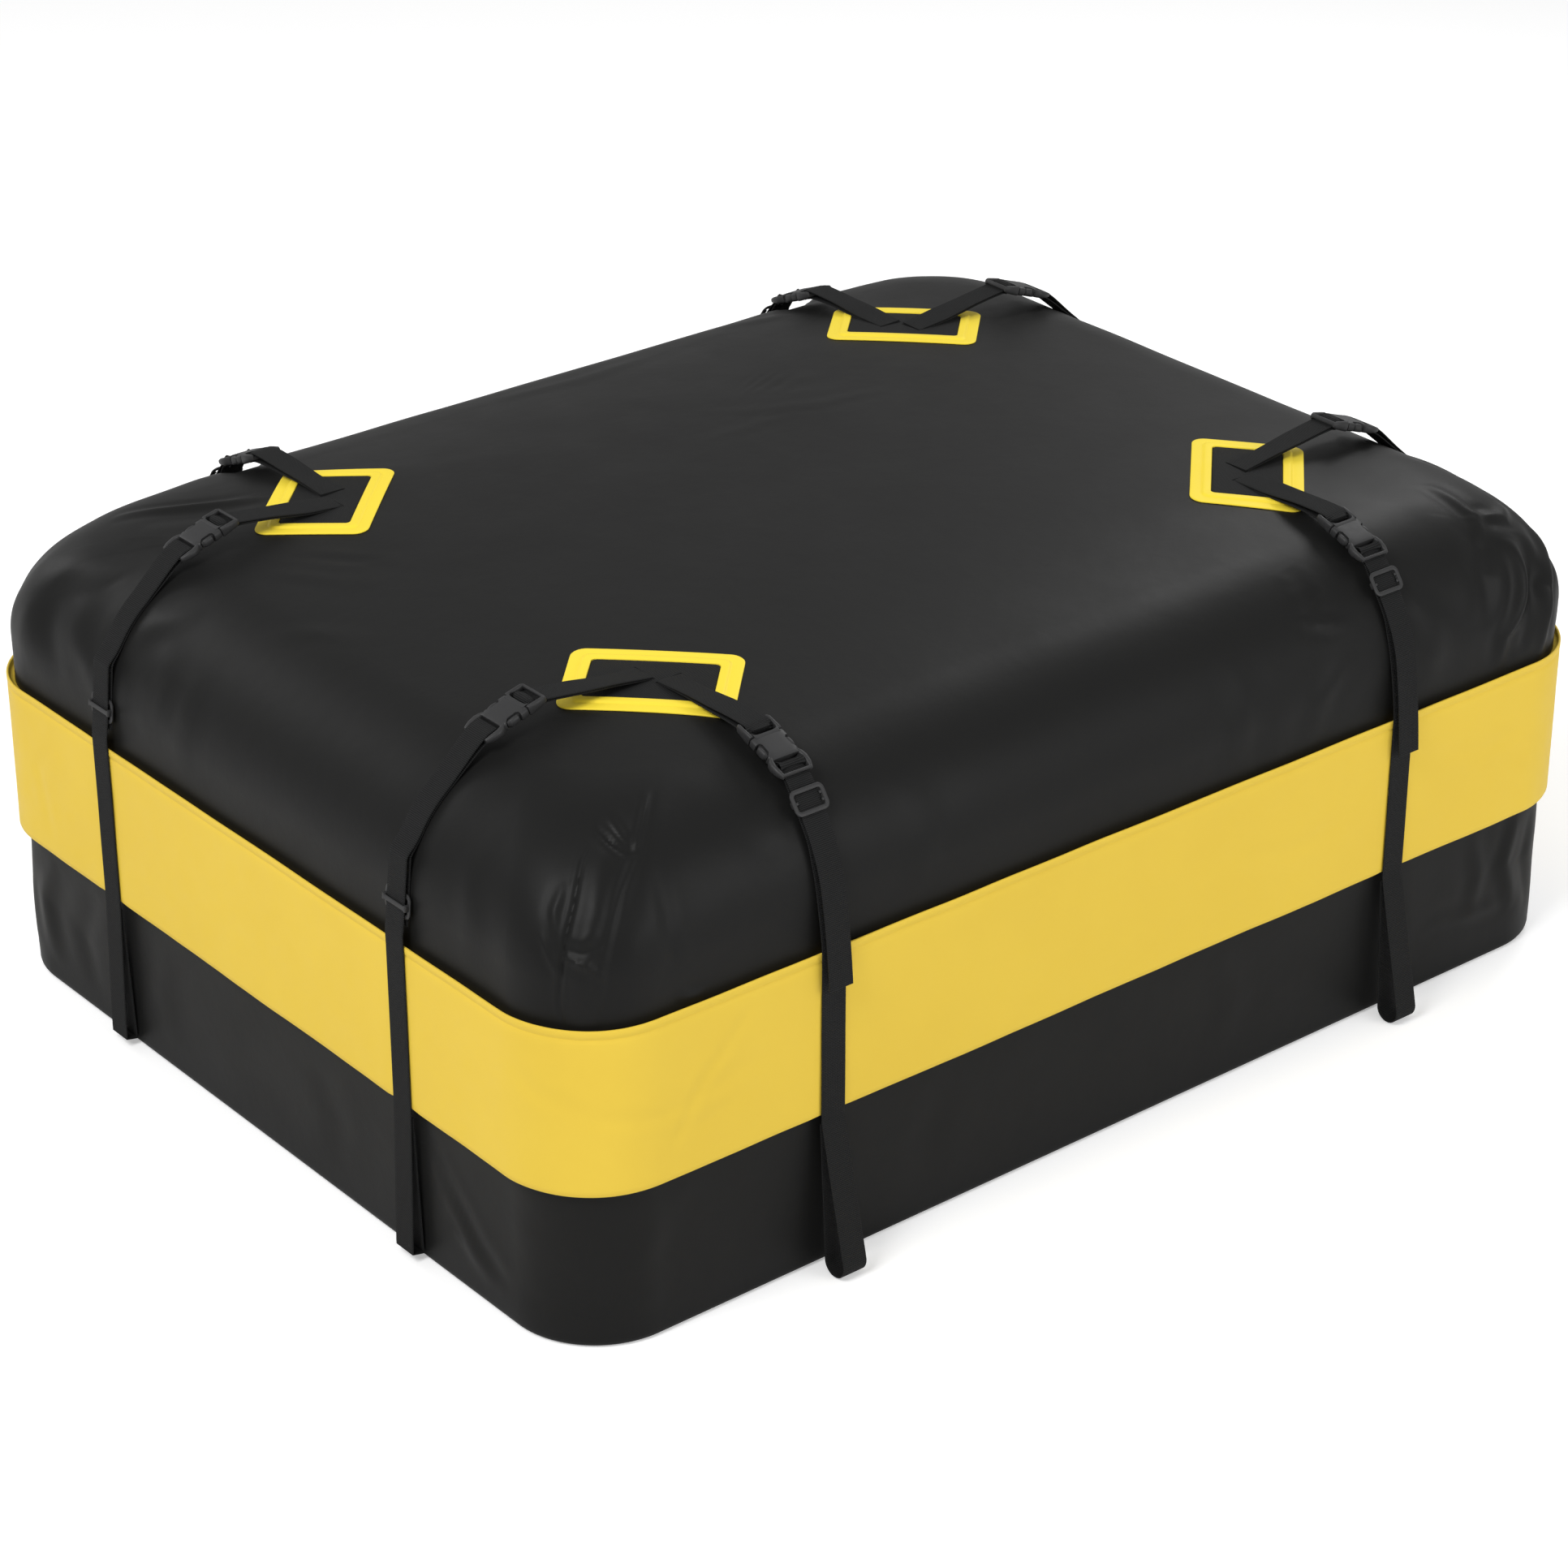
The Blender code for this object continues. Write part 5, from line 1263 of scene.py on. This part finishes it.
def pad_lift(corner_side):
    """How a fixed strap leaves its pad: its inner edge lies low, and its edge at the corner stands up."""
    def lift(run, across, total):
        near = min(run, total - run)
        rise = 0.25 + 0.75 * np.clip(near / PAD_LIFT_LENGTH, 0.0, 1.0)
        rise *= np.clip((PAD_LIFT_END - near) / PAD_LIFT_LENGTH, 0.0, 1.0)
        top = 1.0 if run < total / 2 else -1.0
        return top * rise * (PAD_LIFT * across * corner_side / (WEBBING_WIDTH / 2) - PAD_LIFT_DROP)
    return lift


for name, kind, outward, across_at, corner_sign in STATIONS:
    axis = np.cross(np.array(outward, float), (0.0, 0.0, 1.0))
    corner_side = corner_sign * (axis[1] if kind == "end" else axis[0])
    if kind == "side":
        level = lid_height_at(STRAP_X, SIDE_ROOT) + PAD_TOP
        bend_level = lid_height_at(STRAP_X, SIDE_ROOT + STRAP_HUG) + PAD_TOP + SIDE_BEND_LIFT
        bend = (SIDE_ROOT + STRAP_HUG, bend_level)
        path = upper_path(SIDE_BUCKLE, SIDE_SLOPE, SIDE_ROOT, level, bend, rolled_thread())
        roll = on_buckle(SIDE_BUCKLE, SIDE_SLOPE, ROLL_AT, 0.0)
        tail_roll = on_buckle(SIDE_BUCKLE, SIDE_SLOPE, BUCKLE_LENGTH - TAIL_BAR_AT, 0.0)
        lower = side_lower_path()
    else:
        level = lid_height_at(END_ROOT, STRAP_Y) + PAD_TOP
        bend_level = lid_height_at(END_ROOT + STRAP_HUG, STRAP_Y) + PAD_TOP + END_BEND_LIFT
        bend = (END_ROOT + STRAP_HUG, bend_level)
        path = upper_path(END_BUCKLE, END_SLOPE, END_ROOT, level, bend, under_thread(ROLL_TURN))
        roll = on_buckle(END_BUCKLE, END_SLOPE, INNER_BAR_AT, 0.0)
        tail_roll = None
        lower = end_lower_path()
    mesh = webbing_strip("fixed_strap_" + name, path, outward, across_at, roll, pad_lift(corner_side))
    new_piece("fixed_strap_" + name, mesh, strap_finish, "bag", ("upper_strap_" + name,))
    mesh = webbing_strip("loose_strap_" + name, lower, outward, across_at, tail_roll)
    loose = new_piece("loose_strap_" + name, mesh, strap_finish, None, ("lower_strap_" + name,))
    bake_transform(loose)


# Side-release buckles
# Moulded grey acetal. The plug's two sprung arms click into windows in the socket's sides.
# Each half holds its webbing on an inner bar, with a thinner bar at its end.

PLUG_HALF, PLUG_END = 0.0152, 0.0172
SEAM_AT = 0.0180
SOCKET_HALF, SOCKET_TOP = 0.0155, 0.0045
BUCKLE_SMOOTH_ANGLE = 32.0
# Bars of the two halves, each a list of (along, middle, half width, middle height, half height, squareness).
# Those that come in pairs are given for the right side.
PLUG_FRAME = (
    (0.0120, 0, PLUG_HALF, 0, 0.0035, 5.5), (0.0150, 0, PLUG_HALF, 0, 0.0036, 5.5),
    (PLUG_END, 0, PLUG_HALF, 0, 0.0035, 5.5),
)
PLUG_RAIL = (
    (0.0, 0.0131, 0.0014, 0, 0.0026, 2.4), (0.0026, 0.0136, 0.0019, 0, 0.0033, 2.5),
    (0.0090, 0.0136, 0.0019, 0, 0.0039, 2.7), (PLUG_END, 0.0135, 0.0019, 0, 0.0044, 3.2),
)
SPRUNG_ARM = (
    (0.0166, 0.0110, 0.0014, 0, 0.0026, 4.0), (0.0235, 0.0112, 0.0013, 0, 0.0026, 4.0),
    (0.0320, 0.0114, 0.0014, 0, 0.0026, 4.0), (0.0366, 0.0108, 0.0012, 0, 0.0024, 3.0),
)
ARM_TIP = (
    (0.0256, 0.0124, 0.0016, 0, 0.0026, 2.4), (0.0272, 0.0131, 0.0022, 0, 0.0033, 2.4),
    (0.0310, 0.0133, 0.0023, 0, 0.0036, 2.5), (0.0346, 0.0130, 0.0021, 0, 0.0033, 2.4),
    (0.0368, 0.0120, 0.0014, 0, 0.0024, 2.4),
)
PLUG_TONGUE = (
    (0.0169, 0, 0.0034, 0, 0.0022, 4.0), (0.0300, 0, 0.0032, 0, 0.0022, 4.0),
    (0.0340, 0, 0.0022, 0, 0.0016, 3.0),
)
SOCKET_BODY = (
    (SEAM_AT, 0, SOCKET_HALF - 0.0003, 0, SOCKET_TOP - 0.0001, 4.6),
    (0.0215, 0, SOCKET_HALF, 0, SOCKET_TOP, 4.6), (0.0340, 0, SOCKET_HALF, 0, SOCKET_TOP, 4.6),
    (0.0372, 0, 0.0150, 0, SOCKET_TOP, 4.6),
    (0.0400, 0, 0.0138, 0, 0.0043, 4.4), (0.0428, 0, 0.0141, 0, 0.0041, 4.4),
)
SOCKET_HOLLOW = ((0.0100, 0, 0.0130, 0, 0.0030, 7.0), (0.0385, 0, 0.0130, 0, 0.0030, 7.0))
SOCKET_LIP = ((0.0130, 0, 0.0116, 0.0041, 0.0004, 8.0), (0.0200, 0, 0.0116, 0.0041, 0.0004, 8.0))
SIDE_WINDOW = (
    (0.0246, 0.0160, 0.0046, 0, 0.0070, 5.0), (0.0262, 0.0160, 0.0054, 0, 0.0070, 5.0),
    (0.0345, 0.0160, 0.0053, 0, 0.0070, 5.0), (0.0384, 0.0165, 0.0036, 0, 0.0070, 5.0),
)
SOCKET_TAIL = (
    (0.0390, 0.0122, 0.0014, 0, 0.0038, 3.0), (0.0425, 0.0137, 0.0023, 0, 0.0037, 2.6),
    (0.0465, 0.0147, 0.0027, 0, 0.0035, 2.4), (0.0530, 0.0142, 0.0024, 0, 0.0030, 2.4),
    (BUCKLE_LENGTH, 0.0132, 0.0015, 0, 0.0021, 2.4),
)
# Half width of the plug's window at places along it
WINDOW_OUTLINE = (
    (-0.0020, 0.0117), (0.0128, 0.0117), (0.0148, 0.0112),
    (0.0160, 0.0100), (0.0166, 0.0084), (0.0168, 0.0062),
)


def moulded(sections, along="length", points=28, edge=0.0005):
    """Rounded bar lofted through (place, middle, half width, middle height, half height, squareness)."""
    first, last = sections[0], sections[-1]

    def eased(row, place, cut):
        return (place, row[1], row[2] - cut, row[3], row[4] - cut, row[5])

    rows = [eased(first, first[0], edge), eased(first, first[0] + edge * 0.3, edge * 0.3)]
    rows += [eased(first, first[0] + edge, 0.0)] + list(sections[1:-1]) + [eased(last, last[0] - edge, 0.0)]
    rows += [eased(last, last[0] - edge * 0.3, edge * 0.3), eased(last, last[0], edge)]
    rings = []
    for place, middle, half_width, middle_up, half_up, square in rows:
        ring = []
        for step in range(points):
            angle = math.tau * step / points
            c, s = math.cos(angle), math.sin(angle)
            across = middle + half_width * math.copysign(abs(c) ** (2 / square), c)
            up = middle_up + half_up * math.copysign(abs(s) ** (2 / square), s)
            ring.append((place, across, up) if along == "length" else (across, place, up))
        rings.append(ring)
    return ring_mesh("moulded", rings)


def moulded_together(name, first, steps):
    """Join and cut moulded shapes with Booleans: steps are (operation, mesh)."""
    body = bpy.data.objects.new(name, first)
    bpy.context.scene.collection.objects.link(body)
    tools = []
    for operation, tool_mesh in steps:
        tool = bpy.data.objects.new(name + "_tool", tool_mesh)
        bpy.context.scene.collection.objects.link(tool)
        modifier = body.modifiers.new(operation.lower(), "BOOLEAN")
        modifier.operation = operation
        modifier.object = tool
        tools.append(tool)
    bpy.context.view_layer.update()
    mesh = bpy.data.meshes.new_from_object(body.evaluated_get(bpy.context.evaluated_depsgraph_get()))
    for item in [body] + tools:
        bpy.data.objects.remove(item, do_unlink=True)
    return cleaned(mesh, 0.00001)


def on_side(side, sections):
    """Sections of a right-hand bar, on the left or on the right."""
    return [(place, side * middle, *rest) for place, middle, *rest in sections]


def end_bar(place, half_length, half_width, low, high):
    """A bar across a buckle half, between two heights."""
    middle, half = (low + high) / 2, (high - low) / 2
    sections = [(across, place, half_length, middle, half, 2.8) for across in (-half_width, half_width)]
    return moulded(sections, along="width", points=16, edge=0.0003)


def buckle_window():
    """Cutter of the plug's window, whose inner corners are rounded."""
    sections = [(place, 0, half_width, 0, 0.0100, 9.0) for place, half_width in WINDOW_OUTLINE]
    return moulded(sections, points=48, edge=0.0001)


def plug_shape(kind):
    """Plug half: a frame round the window, the end bar, the inner bar, and the sprung arms."""
    steps = [("UNION", moulded(on_side(side, PLUG_RAIL), points=24, edge=0.0010)) for side in (-1, 1)]
    steps.append(("DIFFERENCE", buckle_window()))
    for side in (-1, 1):
        steps.append(("UNION", moulded(on_side(side, SPRUNG_ARM), points=16)))
        steps.append(("UNION", moulded(on_side(side, ARM_TIP), points=24, edge=0.0006)))
    low, high = (-0.0012, 0.0026) if kind == "end" else (-0.0026, 0.0008)
    steps.append(("UNION", end_bar(0.0013, 0.0013, 0.0130, low, high)))
    steps.append(("UNION", end_bar(INNER_BAR_AT, 0.0010, 0.0130, -BAR_HALF, BAR_HALF)))
    steps.append(("UNION", moulded(PLUG_TONGUE, points=16)))
    return moulded_together("plug_" + kind, moulded(PLUG_FRAME), steps)


def socket_shape(kind):
    """Socket half: a hollow body with a lip up to the window, side windows, a waist, and a tail."""
    steps = [("DIFFERENCE", moulded(SOCKET_HOLLOW, points=32))]
    steps.append(("UNION", moulded(SOCKET_LIP, points=32, edge=0.0001)))
    steps.append(("DIFFERENCE", buckle_window()))
    for side in (-1, 1):
        steps.append(("DIFFERENCE", moulded(on_side(side, SIDE_WINDOW), points=24, edge=0.0012)))
        steps.append(("UNION", moulded(on_side(side, SOCKET_TAIL), points=24, edge=0.0008)))
    low, high = (-0.0011, 0.0022) if kind == "side" else (-0.0022, 0.0011)
    steps.append(("UNION", end_bar(0.0573, 0.0011, 0.0135, low, high)))
    steps.append(("UNION", end_bar(BUCKLE_LENGTH - TAIL_BAR_AT, 0.0010, 0.0136, -BAR_HALF, BAR_HALF)))
    return moulded_together("socket_" + kind, moulded(SOCKET_BODY, points=40), steps)


def grey_acetal():
    """Grey moulded plastic: fine spark-eroded texture and a soft gloss."""
    made, shader, nodes, links = principled("grey_acetal", (0.028, 0.028, 0.029), 0.46)
    shader.inputs["Specular IOR Level"].default_value = 0.28
    place = nodes.new("ShaderNodeTexCoord").outputs["Object"]
    cloudy = noise_node(nodes, links, place, 60.0, 3.0)
    dark, light = (0.0260, 0.0260, 0.0266), (0.0305, 0.0305, 0.0311)
    mixed_color(nodes, links, cloudy, dark, light, shader.inputs["Base Color"])
    ranged(nodes, links, noise_node(nodes, links, place, 220.0, 2.0), 0.42, 0.52, shader.inputs["Roughness"])
    bumped(nodes, links, noise_node(nodes, links, place, 2600.0, 2.0), 0.10, 0.0002, shader.inputs["Normal"])
    return made


acetal = grey_acetal()
plugs = {kind: plug_shape(kind) for kind in ("end", "side")}
sockets = {kind: socket_shape(kind) for kind in ("end", "side")}


def plastic_piece(name, mesh, matrix, body, replaced):
    """Show a copy of a moulded mesh, moved to its place, as a piece that rides on a body."""
    copy = mesh.copy()
    copy.name = name
    copy.transform(matrix)
    new_piece(name, copy, acetal, body, (replaced,), BUCKLE_SMOOTH_ANGLE)


def plane_matrix(outward, across_at, point, axis_2d, normal_2d):
    """Frame with X along an axis of the strap's plane and Z along its normal."""
    out, up = Vector(outward), Vector((0, 0, 1))
    axis = out * axis_2d[0] + up * axis_2d[1]
    normal = out * normal_2d[0] + up * normal_2d[1]
    turn = Matrix((axis, normal.cross(axis), normal)).transposed().to_4x4()
    return Matrix.Translation(Vector(across_at) + out * point[0] + up * point[1]) @ turn


for name, kind, outward, across_at, _ in STATIONS:
    origin, slope = (SIDE_BUCKLE, SIDE_SLOPE) if kind == "side" else (END_BUCKLE, END_SLOPE)
    axis, normal = (math.cos(slope), -math.sin(slope)), (math.sin(slope), math.cos(slope))
    matrix = plane_matrix(outward, across_at, origin, axis, normal)
    plastic_piece("plug_half_" + name, plugs[kind], matrix, "bag", "buckle_plug_" + name)
    plastic_piece("socket_half_" + name, sockets[kind], matrix, "tie_" + name, "buckle_socket_" + name)


# Adjusters
# A moulded ring with two outer bars and a centre bar grips the doubled webbing.
# On the short sides it is threaded turned over, so its centre bar shows in front.

GLIDE_LENGTH, GLIDE_WIDTH = 0.0208, 0.0322
RING_BAR = 0.0037
RING_CORNER = 0.0038
RING_STEPS = 16
RING_MIDDLE, RING_HALF_HEIGHT = 0.0018, 0.00085
SIDE_GLIDE_REST, END_GLIDE_REST = 0.0125, 0.0350


def glide_shape():
    """Rounded ring swept round its outline, with a centre bar, three small stops and two cheeks."""
    outline_places = ring_places(8, 10, 6, 0.0)
    half_length, half_width = GLIDE_LENGTH / 2 - RING_BAR / 2, GLIDE_WIDTH / 2 - RING_BAR / 2
    centre, out = ring_points(outline_places, half_length, half_width, RING_CORNER)
    rings = []
    for point, normal in zip(centre, out):
        ring = []
        for step in range(RING_STEPS):
            angle = math.tau * step / RING_STEPS
            c, s = math.cos(angle), math.sin(angle)
            away = RING_BAR / 2 * math.copysign(abs(c) ** 0.75, c)
            up = RING_MIDDLE + RING_HALF_HEIGHT * math.copysign(abs(s) ** 0.75, s)
            ring.append((point[0] + normal[0] * away, point[1] + normal[1] * away, up))
        rings.append(ring)
    body = cleaned(grid_mesh("glide_ring", np.array(rings + rings[:1])), SAME_PLACE)
    steps = [("UNION", end_bar(0.0, 0.0020, 0.0142, -0.0026, -0.0011))]
    for along, across in ((-0.0028, 0.0116), (0.0028, 0.0116), (0.0, -0.0116)):
        stop = [(place, across, 0.0012, 0.0017, 0.0007, 2.4) for place in (along - 0.0011, along + 0.0011)]
        steps.append(("UNION", moulded(stop, points=12)))
    for side in (-1, 1):
        cheek = [(place, side * 0.0136, 0.0016, -0.0003, 0.0023, 3.0) for place in (-0.0026, 0.0026)]
        steps.append(("UNION", moulded(cheek, points=20)))
    return moulded_together("glide", body, steps)


glide = glide_shape()
for name, kind, outward, across_at, _ in STATIONS:
    zone, rest = (SIDE_ZONE, SIDE_GLIDE_REST) if kind == "side" else (END_ZONE, END_GLIDE_REST)
    high, low = Vector(zone[0]), Vector(zone[1])
    direction = (low - high).normalized()
    away = Vector((-direction.y, direction.x)) * (1.0 if kind == "side" else -1.0)
    matrix = plane_matrix(outward, across_at, high + direction * rest, direction, away)
    plastic_piece("adjuster_" + name, glide, matrix, "glide_" + name, "tri_glide_" + name)
